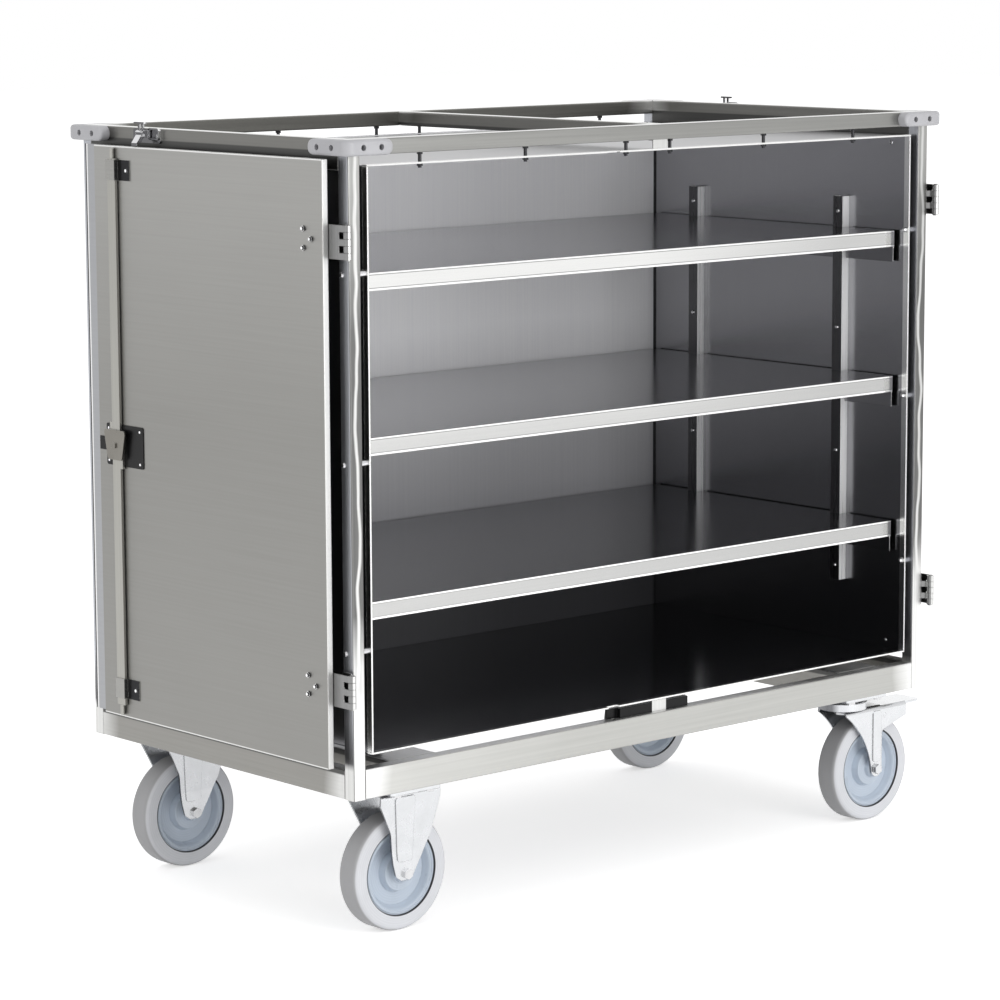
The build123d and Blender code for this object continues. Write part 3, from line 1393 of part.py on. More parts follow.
with BuildPart() as castor_bolts:
    for side_x in (-1, 1):
        for column in castor_bolt_columns:
            for row in (castor_outer_row, castor_inner_row):
                with BuildSketch(Plane.XY.offset(plate_bottom - castor_bolt_head_height)):
                    with Locations((side_x * column, -row)):
                        RegularPolygon(castor_bolt_head, 6)
                extrude(amount=castor_bolt_head_height)
                with BuildSketch(Plane.XY.offset(plate_bottom)):
                    with Locations((side_x * column, -row)):
                        Circle(castor_bolt_radius)
                extrude(amount=castor_bolt_reach)
    axle_bolt(-castor_x, -castor_y)
    mirror(about=Plane.XZ)
write_piece(castor_bolts, "castor_bolts")


def brake_pedal(name, middle_y):
    """A pedal between the fork's flanges, with its pivot ears and the pad that meets the tyre."""
    middle = side_view(swivel_wheel_x, middle_y)
    plate_top = crown_height - fork_sheet
    plate_start = fork_boss_radius + 1
    turned = radians(pedal_travel)
    pad_x = pedal_pivot_x * (1 - cos(turned)) + pedal_pivot_z * sin(turned)
    pad_z = pedal_pivot_z * (1 - cos(turned)) - pedal_pivot_x * sin(turned)
    with BuildPart() as pedal:
        with BuildSketch(middle):
            region(plate_start, pedal_reach, plate_top - pedal_sheet, plate_top)
        extrude(amount=pedal_width / 2, both=True)
        fillet(pedal.edges().filter_by(Axis.Z).sort_by(Axis.X)[-2:], radius=pedal_corner)
        with BuildSketch(middle):
            pad_bottom = pedal_pivot_z - 2 * pedal_ear_radius
            region(pedal_pad_near, pedal_pad_far, pad_bottom, plate_top - pedal_sheet)
            with Locations((pad_x, pad_z)):
                Circle(wheel_radius + pedal_pad_gap, mode=Mode.SUBTRACT)
        extrude(amount=wheel_width / 2, both=True)
        for way in (-1, 1):
            ear = side_view(swivel_wheel_x, middle_y + way * pedal_width / 2)
            with BuildSketch(ear):
                with Locations((pedal_pivot_x, pedal_pivot_z)):
                    Circle(pedal_ear_radius)
                ear_start_x = pedal_pivot_x - pedal_ear_radius
                region(ear_start_x, pedal_pad_far, pedal_pivot_z, plate_top - pedal_sheet)
            extrude(amount=way * pedal_sheet)
            with BuildSketch(ear):
                with Locations((pedal_pivot_x, pedal_pivot_z)):
                    Circle(pedal_pin_radius)
            extrude(amount=-way * (fork_width - pedal_width) / 2)
    write_piece(pedal, name)


brake_pedal("brake_pedal_front", -castor_y)
brake_pedal("brake_pedal_rear", castor_y)
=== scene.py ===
import math

import bmesh
import bpy
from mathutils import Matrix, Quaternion, Vector


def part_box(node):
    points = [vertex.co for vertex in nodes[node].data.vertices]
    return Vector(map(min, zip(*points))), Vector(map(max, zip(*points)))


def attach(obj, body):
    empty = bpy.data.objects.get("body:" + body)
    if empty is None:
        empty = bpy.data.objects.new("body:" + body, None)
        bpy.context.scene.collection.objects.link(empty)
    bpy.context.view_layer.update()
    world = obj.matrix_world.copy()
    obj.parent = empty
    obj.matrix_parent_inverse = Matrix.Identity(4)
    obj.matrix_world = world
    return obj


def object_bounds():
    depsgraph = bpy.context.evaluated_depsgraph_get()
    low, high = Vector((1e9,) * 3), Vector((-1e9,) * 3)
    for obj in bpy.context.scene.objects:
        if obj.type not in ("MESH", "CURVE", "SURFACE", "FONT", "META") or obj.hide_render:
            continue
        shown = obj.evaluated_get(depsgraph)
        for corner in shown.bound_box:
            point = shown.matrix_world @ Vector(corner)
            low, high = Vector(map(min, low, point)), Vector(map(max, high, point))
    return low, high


# The dressed look of a stainless transport trolley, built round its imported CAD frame.
# Everything is in metres, in the CAD's own frame: X to the right, Y to the back, Z up.

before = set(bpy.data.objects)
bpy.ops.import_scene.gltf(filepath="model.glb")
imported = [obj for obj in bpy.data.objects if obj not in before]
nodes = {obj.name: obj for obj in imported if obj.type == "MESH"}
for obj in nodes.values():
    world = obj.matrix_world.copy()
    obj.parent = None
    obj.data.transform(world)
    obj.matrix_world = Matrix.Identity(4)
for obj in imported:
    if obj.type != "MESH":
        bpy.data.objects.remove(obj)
cad_low, cad_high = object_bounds()


# Places on the part

frame_top = cad_high[2]
door_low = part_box("left_door")[0].z
door_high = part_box("left_door")[1].z
liner_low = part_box("liner_back")[0].z
liner_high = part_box("liner_back")[1].z
wall_left_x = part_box("liner_back")[0].x
wall_right_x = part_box("liner_back")[1].x
hem_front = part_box("liner_side_walls")[0].y
rod_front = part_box("lock_rod_upper")[0].y
shelf_tops = [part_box(f"shelf_{level}")[1].z for level in ("lower", "middle", "upper")]

SHELF_LIP = 0.030
FOLD_LINE = 0.0041
AXLE_HEIGHT = 0.100
RIM_RADIUS = 0.074
FIXED_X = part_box("fixed_front_rim")[0].x + RIM_RADIUS
SWIVEL_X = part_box("swivel_front_rim")[0].x + RIM_RADIUS
WHEELS = ("fixed_front", "fixed_rear", "swivel_front", "swivel_rear")


# Node helpers

BUMP_STRENGTH = 0.6
RIPPLE_SCALE = 6.0


def link(tree, source, target):
    """A link from one socket to another."""
    tree.links.new(source, target)


def add_node(tree, kind, **values):
    """A node with some of its sockets and settings filled in."""
    node = tree.nodes.new(kind)
    for key, value in values.items():
        if key in node.inputs:
            node.inputs[key].default_value = value
        else:
            setattr(node, key, value)
    return node


def start_material(name):
    """A node material with its shader and the part's own coordinates."""
    material = bpy.data.materials.new(name)
    material.use_nodes = True
    tree = material.node_tree
    shader = tree.nodes["Principled BSDF"]
    place = add_node(tree, "ShaderNodeTexCoord")
    return material, tree, shader, place


def noise(tree, place, scale, detail, stretch=(1, 1, 1)):
    """Noise in the part's frame, stretched by direction."""
    mapping = add_node(tree, "ShaderNodeMapping")
    mapping.inputs["Scale"].default_value = stretch
    link(tree, place.outputs["Object"], mapping.inputs["Vector"])
    texture = add_node(tree, "ShaderNodeTexNoise", Scale=scale, Detail=detail)
    link(tree, mapping.outputs["Vector"], texture.inputs["Vector"])
    return texture.outputs["Fac"]


def remap(tree, value, low, high, from_low=0.3, from_high=0.7):
    """A value moved into another range. Noise lies mostly in the range that is taken by itself."""
    node = add_node(tree, "ShaderNodeMapRange")
    node.inputs["From Min"].default_value = from_low
    node.inputs["From Max"].default_value = from_high
    node.inputs["To Min"].default_value = low
    node.inputs["To Max"].default_value = high
    link(tree, value, node.inputs["Value"])
    return node.outputs["Result"]


def blend_colours(tree, factor, first, second):
    """A colour between two, by a factor. Each may be a colour or a socket."""
    node = add_node(tree, "ShaderNodeMix", data_type="RGBA")
    link(tree, factor, node.inputs[0])
    for socket, colour in ((node.inputs[6], first), (node.inputs[7], second)):
        if isinstance(colour, bpy.types.NodeSocket):
            link(tree, colour, socket)
        else:
            socket.default_value = (*colour, 1)
    return node.outputs[2]


def combine(tree, operation, first, second=0.0):
    """Two values combined by a plain sum, product or the like. Each may be a number or a socket."""
    node = add_node(tree, "ShaderNodeMath", operation=operation)
    for socket, value in ((node.inputs[0], first), (node.inputs[1], second)):
        if isinstance(value, bpy.types.NodeSocket):
            link(tree, value, socket)
        else:
            socket.default_value = value
    return node.outputs[0]


def surface(tree, shader, height, distance, edge):
    """Bump over rounded edges."""
    rounded = add_node(tree, "ShaderNodeBevel", Radius=edge)
    bump = add_node(tree, "ShaderNodeBump", Distance=distance, Strength=BUMP_STRENGTH)
    link(tree, height, bump.inputs["Height"])
    link(tree, rounded.outputs["Normal"], bump.inputs["Normal"])
    link(tree, bump.outputs["Normal"], shader.inputs["Normal"])


def shade(colour, factor):
    """A colour made darker or lighter."""
    return tuple(min(1.0, channel * factor) for channel in colour)


# Accents give part of a material another tone, by where a point lies or which way its face looks; here
# they mostly paint light and shade into the colour

def facing(axis, start, end):
    """Faces that look along an axis, from none at start to all at end."""
    return "Normal", axis, start, end, 0.0, False


def beyond(axis, border, wave=0.0):
    """Points past a border, from none at its start to all at its end, and as wavy as asked."""
    return "Object", axis, *border, wave, False


def outside(axis, border, wave=0.0):
    """Points past a border that is measured to both sides of the middle."""
    return "Object", axis, *border, wave, True


def between(axis, start, end, soft):
    """Points between two places on an axis, with soft borders inside them."""
    return beyond(axis, (start, start + soft)), beyond(axis, (end, end - soft))


def where(tree, place, terms):
    """A factor that is 1 where every one of the terms holds."""
    factor = 1.0
    for kind, axis, start, end, wave, either_side in terms:
        split = add_node(tree, "ShaderNodeSeparateXYZ")
        link(tree, place.outputs[kind], split.inputs["Vector"])
        value = split.outputs[axis]
        if wave:
            ripple = remap(tree, noise(tree, place, RIPPLE_SCALE, 2), -wave, wave)
            value = combine(tree, "ADD", value, ripple)
        if either_side:
            value = combine(tree, "ABSOLUTE", value)
        factor = combine(tree, "MULTIPLY", remap(tree, value, 0, 1, start, end), factor)
    return factor


def accented(tree, place, mixed, tone, spread, accents):
    """A mottled tone, with other tones where the accents say; most of these are painted light and shade.
    """
    colour = blend_colours(tree, mixed, shade(tone, 1 - spread), shade(tone, 1 + spread))
    for other, *terms in accents:
        patch = blend_colours(tree, mixed, shade(other, 1 - spread), shade(other, 1 + spread))
        colour = blend_colours(tree, where(tree, place, terms), colour, patch)
    return colour


# Kinds of material

CLOUD_SCALE = 14.0
GRAIN_SCALE = 900.0
RING_PITCH = 0.0042
RING_DEPTH = 0.0001
PLATING_DEPTH = 0.00008
GRAIN_DEPTH = 0.00006
ROUNDING = 0.0012
TYRE_ROUNDING = 0.0014
MOULDED_SPREAD = 0.06
STREAKS = {"x": (3, 260, 260), "y": (260, 3, 260), "z": (260, 260, 3)}
# Borders of the painted shade in the seam between rim and tyre
SEAM_INNER = (RIM_RADIUS - 0.0016, RIM_RADIUS - 0.0006)
SEAM_OUTER = (RIM_RADIUS + 0.0014, RIM_RADIUS + 0.0006)


def brushed(name, tone, along, rough, spread, edge=ROUNDING, depth=0.00012, accents=(), haze=()):
    """Brushed stainless steel whose grain runs along one axis, hazy where its haze term says."""
    material, tree, shader, place = start_material(name)
    streaks = noise(tree, place, 1.0, 4, STREAKS[along])
    clouds = noise(tree, place, 5.0, 3)
    mixed = combine(tree, "ADD", remap(tree, streaks, 0, 0.9), remap(tree, clouds, 0, 0.2))
    colour = accented(tree, place, mixed, tone, spread, accents)
    link(tree, colour, shader.inputs["Base Color"])
    roughness = remap(tree, streaks, rough * (1 - spread), rough * (1 + spread))
    link(tree, roughness, shader.inputs["Roughness"])
    if haze:
        amount, *terms = haze
        metallic = remap(tree, where(tree, place, terms), 1.0, 1.0 - amount, 0, 1)
        link(tree, metallic, shader.inputs["Metallic"])
    else:
        shader.inputs["Metallic"].default_value = 1.0
    surface(tree, shader, streaks, depth, edge)
    return material


def bright_metal(name, tone, rough, edge=0.0008, spread=0.09, accents=()):
    """Smooth plated metal with faint clouding."""
    material, tree, shader, place = start_material(name)
    clouds = noise(tree, place, 40.0, 4)
    colour = accented(tree, place, remap(tree, clouds, 0, 1), tone, spread, accents)
    link(tree, colour, shader.inputs["Base Color"])
    link(tree, remap(tree, clouds, rough * 0.8, rough * 1.3), shader.inputs["Roughness"])
    shader.inputs["Metallic"].default_value = 1.0
    surface(tree, shader, clouds, PLATING_DEPTH, edge)
    return material


def moulded(name, tone, rough, gloss=0.5):
    """Moulded plastic or rubber with a fine grain."""
    material, tree, shader, place = start_material(name)
    fine = noise(tree, place, GRAIN_SCALE, 3)
    clouds = noise(tree, place, CLOUD_SCALE, 3)
    colour = accented(tree, place, remap(tree, clouds, 0, 1), tone, MOULDED_SPREAD, ())
    link(tree, colour, shader.inputs["Base Color"])
    link(tree, remap(tree, fine, rough - 0.05, rough + 0.08), shader.inputs["Roughness"])
    shader.inputs["Specular IOR Level"].default_value = gloss
    surface(tree, shader, fine, GRAIN_DEPTH, ROUNDING)
    return material


def turned(name, middle_x, tone, tread, rough):
    """Moulded wheel material with fine rings round the axle and painted shade in the seam where rim meets
    tyre.
    """
    material, tree, shader, place = start_material(name)
    mapping = add_node(tree, "ShaderNodeMapping")
    mapping.inputs["Location"].default_value = (-middle_x, 0, -AXLE_HEIGHT)
    mapping.inputs["Scale"].default_value = (1, 0, 1)
    link(tree, place.outputs["Object"], mapping.inputs["Vector"])
    length = add_node(tree, "ShaderNodeVectorMath", operation="LENGTH")
    link(tree, mapping.outputs["Vector"], length.inputs[0])
    radius = length.outputs["Value"]
    wave = combine(tree, "SINE", combine(tree, "MULTIPLY", radius, math.tau / RING_PITCH))
    rings = remap(tree, wave, 0, 1, -1, 1)
    clouds = noise(tree, place, CLOUD_SCALE, 3)
    mixed = combine(tree, "ADD", remap(tree, clouds, 0, 0.6), remap(tree, rings, 0, 0.4, 0, 1))
    sides = [(tone, facing("Y", 0.55, 0.8)), (tone, facing("Y", -0.55, -0.8))]
    colour = accented(tree, place, mixed, tread, MOULDED_SPREAD, sides)
    # Painted shade in the seam between rim and tyre
    inner = remap(tree, radius, 0, 1, *SEAM_INNER)
    outer = remap(tree, radius, 0, 1, *SEAM_OUTER)
    colour = blend_colours(tree, combine(tree, "MULTIPLY", inner, outer), colour, SEAM_SHADE)
    link(tree, colour, shader.inputs["Base Color"])
    link(tree, remap(tree, clouds, rough - 0.05, rough + 0.08), shader.inputs["Roughness"])
    surface(tree, shader, rings, RING_DEPTH, TYRE_ROUNDING)
    return material


def paint(material, *names):
    """Give CAD nodes a material."""
    for name in names:
        mesh = nodes[name].data
        mesh.materials.clear()
        mesh.materials.append(material)


# Directions that a face may look in, and tones that several materials share, among them painted highlights
# and the painted shade in the rims' seams

UP = facing("Z", 0.8, 0.95)
DOWN = facing("Z", -0.8, -0.95)
FRONT = facing("Y", -0.8, -0.95)
LEFT = facing("X", -0.8, -0.95)

# Painted highlights: white, bright and edge tones laid on tops, lips and edges where light catches them
WHITE_HIGHLIGHT = (0.84, 0.84, 0.83)
BRIGHT_HIGHLIGHT = (0.74, 0.74, 0.73)
EDGE_HIGHLIGHT = (0.62, 0.62, 0.61)
# Painted shade for the seam between rim and tyre
SEAM_SHADE = (0.05, 0.05, 0.055)
TYRE_SIDE = (0.69, 0.70, 0.73)
TYRE_TREAD = (0.40, 0.40, 0.41)
RIM_TONE = (0.52, 0.585, 0.67)


# Borders between tones, each from where the new tone starts to where it is full; most of them bound
# painted light and shade

# Posts: painted light on the upper fronts, a painted highlight stripe near each front edge, painted glare
# low on the fronts, painted shade at the foot of the sides and a painted highlight line below it
POST_UPPER = (frame_top - 0.32, frame_top - 0.08)
POST_GLARE = (0.56, 0.44)
POST_FOOT = (0.40, 0.32)
POST_HIGHLIGHT_LINE = (0.312, 0.300)
POST_STRIPE_INNER = (0.667, 0.670)
POST_STRIPE_OUTER = (0.676, 0.673)
BASE_LEFT = (-0.2, -0.66)
BASE_ENDS = (0.61, 0.65)
TOP_ENDS = (0.60, 0.65)
SIDE_ENDS = (0.29, 0.335)
TOP_REAR = (0.1, 0.2)
SHADOW_UNDER_DOOR = (door_low - 0.0145, door_low - 0.0125)
SHADOW_OVER_DOOR = (door_high + 0.0125, door_high + 0.0105)
DOOR_UPPER = (0.85, 1.25)
DOOR_LOW_EDGE = (door_low + 0.0024, door_low + 0.0014)
DOOR_HIGH_EDGE = (door_high - 0.0024, door_high - 0.0014)
DOOR_LIP_START = (0.2900, 0.2915)
DOOR_LIP_END = (0.3215, 0.3200)
DOOR_GROOVE_START = (0.2870, 0.2880)
DOOR_GROOVE_END = (0.2915, 0.2900)
DOOR_LIP_EDGE = (0.3205, 0.3215)
DOOR_LIP_SHADOW = (0.3240, 0.3250)
BACK_DIM = (0.92, 0.58)
BACK_DARK = (0.56, 0.47)
RIGHT_CORNER_SHADE = (wall_right_x - 0.0045, wall_right_x - 0.0035)
HEM = (hem_front + 0.013, hem_front + 0.012)
WALL_DIM = (liner_high, liner_low)
FLOOR_DIM = (-0.55, 0.5)
SHELVES_LOWER = (1.0, 0.6)
SHELVES_UPPER = (0.7, 1.0)
SHELF_RIGHT = (-0.1, 0.6)
LIP_RIGHT = (0.0, 0.5)
LIPS_LOWER = (1.0, 0.7)
LIP_SOFT = 0.0006
LIP_LINE = 0.0011
GUIDE_PLATE = (rod_front - 0.0006, rod_front - 0.0016)


# Steel sheet and tube

# Posts: the sides are painted lighter than the fronts and the tops white by which way they face, as
# painted light, with the painted highlights, glare and shade bounded above
POST = brushed("post_steel", (0.15, 0.15, 0.147), "z", 0.34, 0.1, accents=[
    ((0.42, 0.43, 0.46), LEFT),
    ((0.36, 0.36, 0.35), FRONT, beyond("Z", POST_UPPER, 0.03)),
    (EDGE_HIGHLIGHT, FRONT, outside("X", POST_STRIPE_INNER, 0.007), outside("X", POST_STRIPE_OUTER, 0.007)),
    ((0.76, 0.76, 0.75), FRONT, beyond("Z", POST_GLARE, 0.04)),
    ((0.16, 0.16, 0.165), LEFT, beyond("Z", POST_FOOT, 0.02)),
    (EDGE_HIGHLIGHT, LEFT, beyond("Z", POST_HIGHLIGHT_LINE)),
    (WHITE_HIGHLIGHT, UP),
])
# Front and rear base rails: painted lighter towards the left and white on top as painted light; the ends
# are ground weld patches brightened with a painted highlight
BASE_X = brushed("base_rail_steel", (0.45, 0.45, 0.432), "x", 0.36, 0.05, accents=[
    ((0.55, 0.55, 0.53), beyond("X", BASE_LEFT, 0.05)),
    ((0.78, 0.78, 0.77), outside("X", BASE_ENDS, 0.02)),
    (WHITE_HIGHLIGHT, UP),
])
# Side rails and cross members: a darker copy of the rail steel as painted shade, with ends lightened by
# ground weld patches and a painted highlight, a painted shadow under the door and white tops as painted
# highlight
BASE_Y = brushed("base_side_steel", (0.27, 0.265, 0.25), "y", 0.36, 0.06, accents=[
    ((0.6, 0.6, 0.59), outside("Y", SIDE_ENDS, 0.02)),
    ((0.09, 0.09, 0.088), LEFT, beyond("Z", SHADOW_UNDER_DOOR)),
    (WHITE_HIGHLIGHT, UP),
])
# Front and rear top rails: the rear rail painted darker as painted shade, the ends ground weld patches
# brightened with a painted highlight, the tops white as painted highlight
TOP_X = brushed("top_rail_steel", (0.285, 0.285, 0.274), "x", 0.36, 0.06, accents=[
    ((0.17, 0.168, 0.155), beyond("Y", TOP_REAR)),
    ((0.55, 0.55, 0.54), outside("X", TOP_ENDS, 0.03)),
    (WHITE_HIGHLIGHT, UP),
])
# Top side rails and cross member: a darker copy of the top rail steel as painted shade, with a painted
# shadow over the door, lighter ends and white tops as painted highlight
TOP_Y = brushed("top_side_steel", (0.19, 0.188, 0.178), "y", 0.36, 0.06, accents=[
    ((0.5, 0.5, 0.49), outside("Y", SIDE_ENDS, 0.02)),
    ((0.08, 0.08, 0.078), LEFT, beyond("Z", SHADOW_OVER_DOOR)),
    (WHITE_HIGHLIGHT, UP),
])
# Doors: painted lighter towards the top, with painted highlights on the top and bottom edges, the lip's
# face and its edge, painted shade in the groove beside the lip, a painted shadow past the lip, white tops
# and lighter front edges as painted highlight
DOOR = brushed("door_steel", (0.275, 0.272, 0.26), "y", 0.42, 0.035, edge=0.0016, accents=[
    ((0.345, 0.342, 0.33), beyond("Z", DOOR_UPPER)),
    ((0.72, 0.72, 0.71), LEFT, beyond("Z", DOOR_LOW_EDGE)),
    ((0.80, 0.80, 0.79), LEFT, beyond("Z", DOOR_HIGH_EDGE)),
    ((0.36, 0.365, 0.38), LEFT, beyond("Y", DOOR_LIP_START), beyond("Y", DOOR_LIP_END)),
    ((0.12, 0.12, 0.12), LEFT, beyond("Y", DOOR_GROOVE_START), beyond("Y", DOOR_GROOVE_END)),
    ((0.80, 0.80, 0.80), LEFT, beyond("Y", DOOR_LIP_EDGE)),
    ((0.02, 0.02, 0.02), LEFT, beyond("Y", DOOR_LIP_SHADOW)),
    (WHITE_HIGHLIGHT, UP),
    (EDGE_HIGHLIGHT, FRONT),
])
# Back wall and roof: the wall's face and the roof's underside painted bright as painted light, the wall
# painted darker towards the bottom and black in its right corner as painted shade, and the hem white as a
# painted highlight
BACK_HAZE = (0.85, FRONT)
LINER_X = brushed("liner_steel", (0.42, 0.42, 0.43), "z", 0.34, 0.03, depth=0.0, haze=BACK_HAZE, accents=[
    ((0.96, 0.96, 0.985), FRONT),
    ((0.40, 0.40, 0.42), FRONT, beyond("Z", BACK_DIM)),
    ((0.05, 0.05, 0.055), FRONT, beyond("Z", BACK_DARK)),
    ((0.015, 0.015, 0.017), FRONT, beyond("X", RIGHT_CORNER_SHADE)),
    ((0.85, 0.85, 0.87), DOWN),
    (WHITE_HIGHLIGHT, beyond("Y", HEM)),
])
# Side walls: painted darker towards the bottom as painted shade, with the hem white as a painted highlight
LINER_Y = brushed("liner_side_steel", (0.40, 0.40, 0.42), "z", 0.22, 0.02, depth=0.0, accents=[
    ((0.20, 0.20, 0.21), beyond("Z", WALL_DIM)),
    (WHITE_HIGHLIGHT, beyond("Y", HEM)),
])
# Liner floor: painted darker towards the right as painted shade, with the hem white as a painted highlight
FLOOR_SHEET = brushed("liner_floor_steel", (0.34, 0.34, 0.36), "x", 0.17, 0.02, depth=0.0, accents=[
    ((0.16, 0.16, 0.17), beyond("X", FLOOR_DIM)),
    (WHITE_HIGHLIGHT, beyond("Y", HEM)),
])
# Painted highlights along the edges of each shelf's front lip, and painted shade along its fold lines
lip_highlights = [
    ((0.95, 0.95, 0.945), FRONT, *between("Z", edge - FOLD_LINE, edge + FOLD_LINE, LIP_SOFT))
    for top in shelf_tops
    for edge in (top, top - SHELF_LIP)
]
lip_fold_shade = [
    ((0.36, 0.36, 0.36), FRONT, *between("Z", fold - LIP_LINE, fold + LIP_LINE, LIP_SOFT))
    for top in shelf_tops
    for fold in (top - FOLD_LINE, top - SHELF_LIP + FOLD_LINE)
]
# Shelves: the lower shelves and the right of the upper ones painted darker as painted shade, the front
# lips painted bright as painted light
SHELF = brushed("shelf_steel", (0.50, 0.50, 0.52), "x", 0.17, 0.02, depth=0.0, accents=[
    ((0.24, 0.24, 0.25), beyond("Z", SHELVES_LOWER)),
    ((0.17, 0.17, 0.18), beyond("X", SHELF_RIGHT), beyond("Z", SHELVES_UPPER)),
    (BRIGHT_HIGHLIGHT, FRONT),
    ((0.53, 0.53, 0.525), FRONT, beyond("X", LIP_RIGHT)),
    ((0.46, 0.46, 0.455), FRONT, beyond("Z", LIPS_LOWER)),
    *lip_highlights,
    *lip_fold_shade,
])
# Shelf uprights: left faces painted dark as painted shade, front faces painted bright as painted light
UPRIGHT = brushed("upright_steel", (0.22, 0.22, 0.23), "z", 0.28, 0.05, haze=(0.6, FRONT), accents=[
    ((0.11, 0.11, 0.115), LEFT),
    ((0.96, 0.96, 0.955), FRONT),
])
# Hinges: tops painted white and fronts lighter as painted highlights
HINGE = brushed("hinge_steel", (0.24, 0.24, 0.24), "z", 0.3, 0.08, accents=[
    (WHITE_HIGHLIGHT, UP),
    (EDGE_HIGHLIGHT, FRONT),
])
# Lock rods: tops painted white as painted highlight, undersides dark as painted shade
ROD = brushed("rod_steel", (0.36, 0.355, 0.33), "z", 0.34, 0.06, accents=[
    (WHITE_HIGHLIGHT, UP),
    ((0.10, 0.10, 0.10), DOWN),
])
# Rod guides: the left face of the plate past the rod painted black as painted shadow, tops and undersides
# white as painted highlights
GUIDE = brushed("guide_steel", (0.30, 0.297, 0.285), "y", 0.25, 0.05, edge=0.0006, accents=[
    ((0.02, 0.02, 0.022), LEFT, beyond("Y", GUIDE_PLATE)),
    (WHITE_HIGHLIGHT, UP),
    (WHITE_HIGHLIGHT, DOWN),
])


# Fasteners, castors, plastic and rubber

BOLT = bright_metal("bolt_steel", (0.62, 0.62, 0.63), 0.2)
# Bumper bolts painted near black as painted shade in their recesses
SHADED_BOLT = bright_metal("recess_shaded_bolt_steel", (0.008, 0.008, 0.009), 0.4)
# Dome nuts: a dark centre with bright sides, as a painted reflection
DOME = bright_metal("dome_nut_steel", (0.07, 0.07, 0.072), 0.16, edge=0.0003, accents=[
    ((0.92, 0.92, 0.92), facing("X", -0.72, -0.93)),
    ((0.92, 0.92, 0.92), facing("X", 0.72, 0.93)),
])
# Roof studs: dark, with white ends as painted highlights
STUD = bright_metal("stud_steel", (0.045, 0.045, 0.048), 0.3, accents=[
    (WHITE_HIGHLIGHT, DOWN),
    (WHITE_HIGHLIGHT, UP),
])
# Catches: left faces and undersides painted dark as painted shade
CHROME = bright_metal("catch_chrome", (0.78, 0.78, 0.79), 0.1, accents=[
    ((0.12, 0.12, 0.125), LEFT),
    ((0.04, 0.04, 0.042), DOWN),
])
# Castor forks, plates and pedals: tops and fronts painted lighter as painted light, left faces and
# undersides darker as painted shade
ZINC = bright_metal("castor_zinc", (0.64, 0.65, 0.67), 0.24, edge=0.0016, spread=0.035, accents=[
    ((0.90, 0.91, 0.92), UP),
    ((0.66, 0.67, 0.685), FRONT),
    ((0.22, 0.223, 0.235), LEFT),
    ((0.06, 0.06, 0.065), DOWN),
])
# Lock rotor and handle: tops painted white as painted highlight
LOCK_METAL = bright_metal("lock_metal", (0.21, 0.20, 0.18), 0.28, accents=[(WHITE_HIGHLIGHT, UP)])
BUMPER = moulded("bumper_grey", (0.46, 0.46, 0.48), 0.38)
BLACK = moulded("black_plastic", (0.004, 0.004, 0.0045), 0.3, gloss=0.2)
PACKER = moulded("packer_rubber", (0.03, 0.03, 0.03), 0.7)
TYRES = {
    kind: turned(f"tyre_rubber_{kind}", middle_x, TYRE_SIDE, TYRE_TREAD, 0.55)
    for kind, middle_x in (("fixed", FIXED_X), ("swivel", SWIVEL_X))
}
RIMS = {
    kind: turned(f"rim_plastic_{kind}", middle_x, RIM_TONE, RIM_TONE, 0.3)
    for kind, middle_x in (("fixed", FIXED_X), ("swivel", SWIVEL_X))
}

for end in ("front_left", "front_right", "rear_left", "rear_right"):
    paint(POST, f"corner_post_{end}")
paint(BASE_X, "base_rail_front", "base_rail_rear")
paint(BASE_Y, "base_side_rails", "base_cross_members")
paint(TOP_X, "top_rail_front", "top_rail_rear")
paint(TOP_Y, "top_side_rails", "top_cross_member")
paint(DOOR, "left_door", "right_door")
paint(LINER_X, "liner_back", "liner_roof")
paint(LINER_Y, "liner_side_walls")
paint(FLOOR_SHEET, "liner_floor")
paint(SHELF, "shelf_lower", "shelf_middle", "shelf_upper")
paint(UPRIGHT, "shelf_uprights")
paint(HINGE, "hinge_frame_leaves", "left_door_leaves", "right_door_leaves", "door_stops")
paint(ROD, "lock_rod_upper", "lock_rod_lower")
paint(GUIDE, "rod_guides")
paint(STUD, "roof_studs")
paint(BOLT, "upright_fasteners", "liner_wall_bolts", "castor_bolts")
paint(SHADED_BOLT, "bumper_bolts")
paint(DOME, "left_door_bolts", "right_door_bolts", "lock_screws")
paint(CHROME, "catch_brackets", "left_catch_lever", "right_catch_lever")
paint(ZINC, "fixed_castor_forks", "swivel_fork_front", "swivel_fork_rear", "swivel_top_plates")
paint(ZINC, "brake_pedal_front", "brake_pedal_rear")
paint(LOCK_METAL, "lock_rotor", "lock_handle")
paint(BUMPER, "corner_bumpers")
paint(BLACK, "lock_base_plate", "door_strike")
paint(PACKER, "floor_packers")
for wheel in WHEELS:
    kind = wheel.split("_")[0]
    paint(TYRES[kind], f"{wheel}_tyre")
    paint(RIMS[kind], f"{wheel}_rim")


# Small pieces that the CAD leaves out

RIM_FACE = 0.020
BEAD_RADIUS = RIM_RADIUS - 0.0042
BEAD_HALF_WIDTH = 0.0017
BEAD_RISE = 0.0013
BEAD_STEPS = 8
BEAD_TURNS = 96
RIVET_RADIUS = 0.0038
RIVET_RISE = 0.0014
RIVET_SUNK = 0.0002
RIVET_STEPS = 6
RIVET_TURNS = 32
RIVET_ROW_Y = hem_front + 0.046
RIVET_LOW_Z = liner_low + 0.014
RIVET_HIGH_Z = liner_high - 0.013
MERGE_DISTANCE = 0.00001


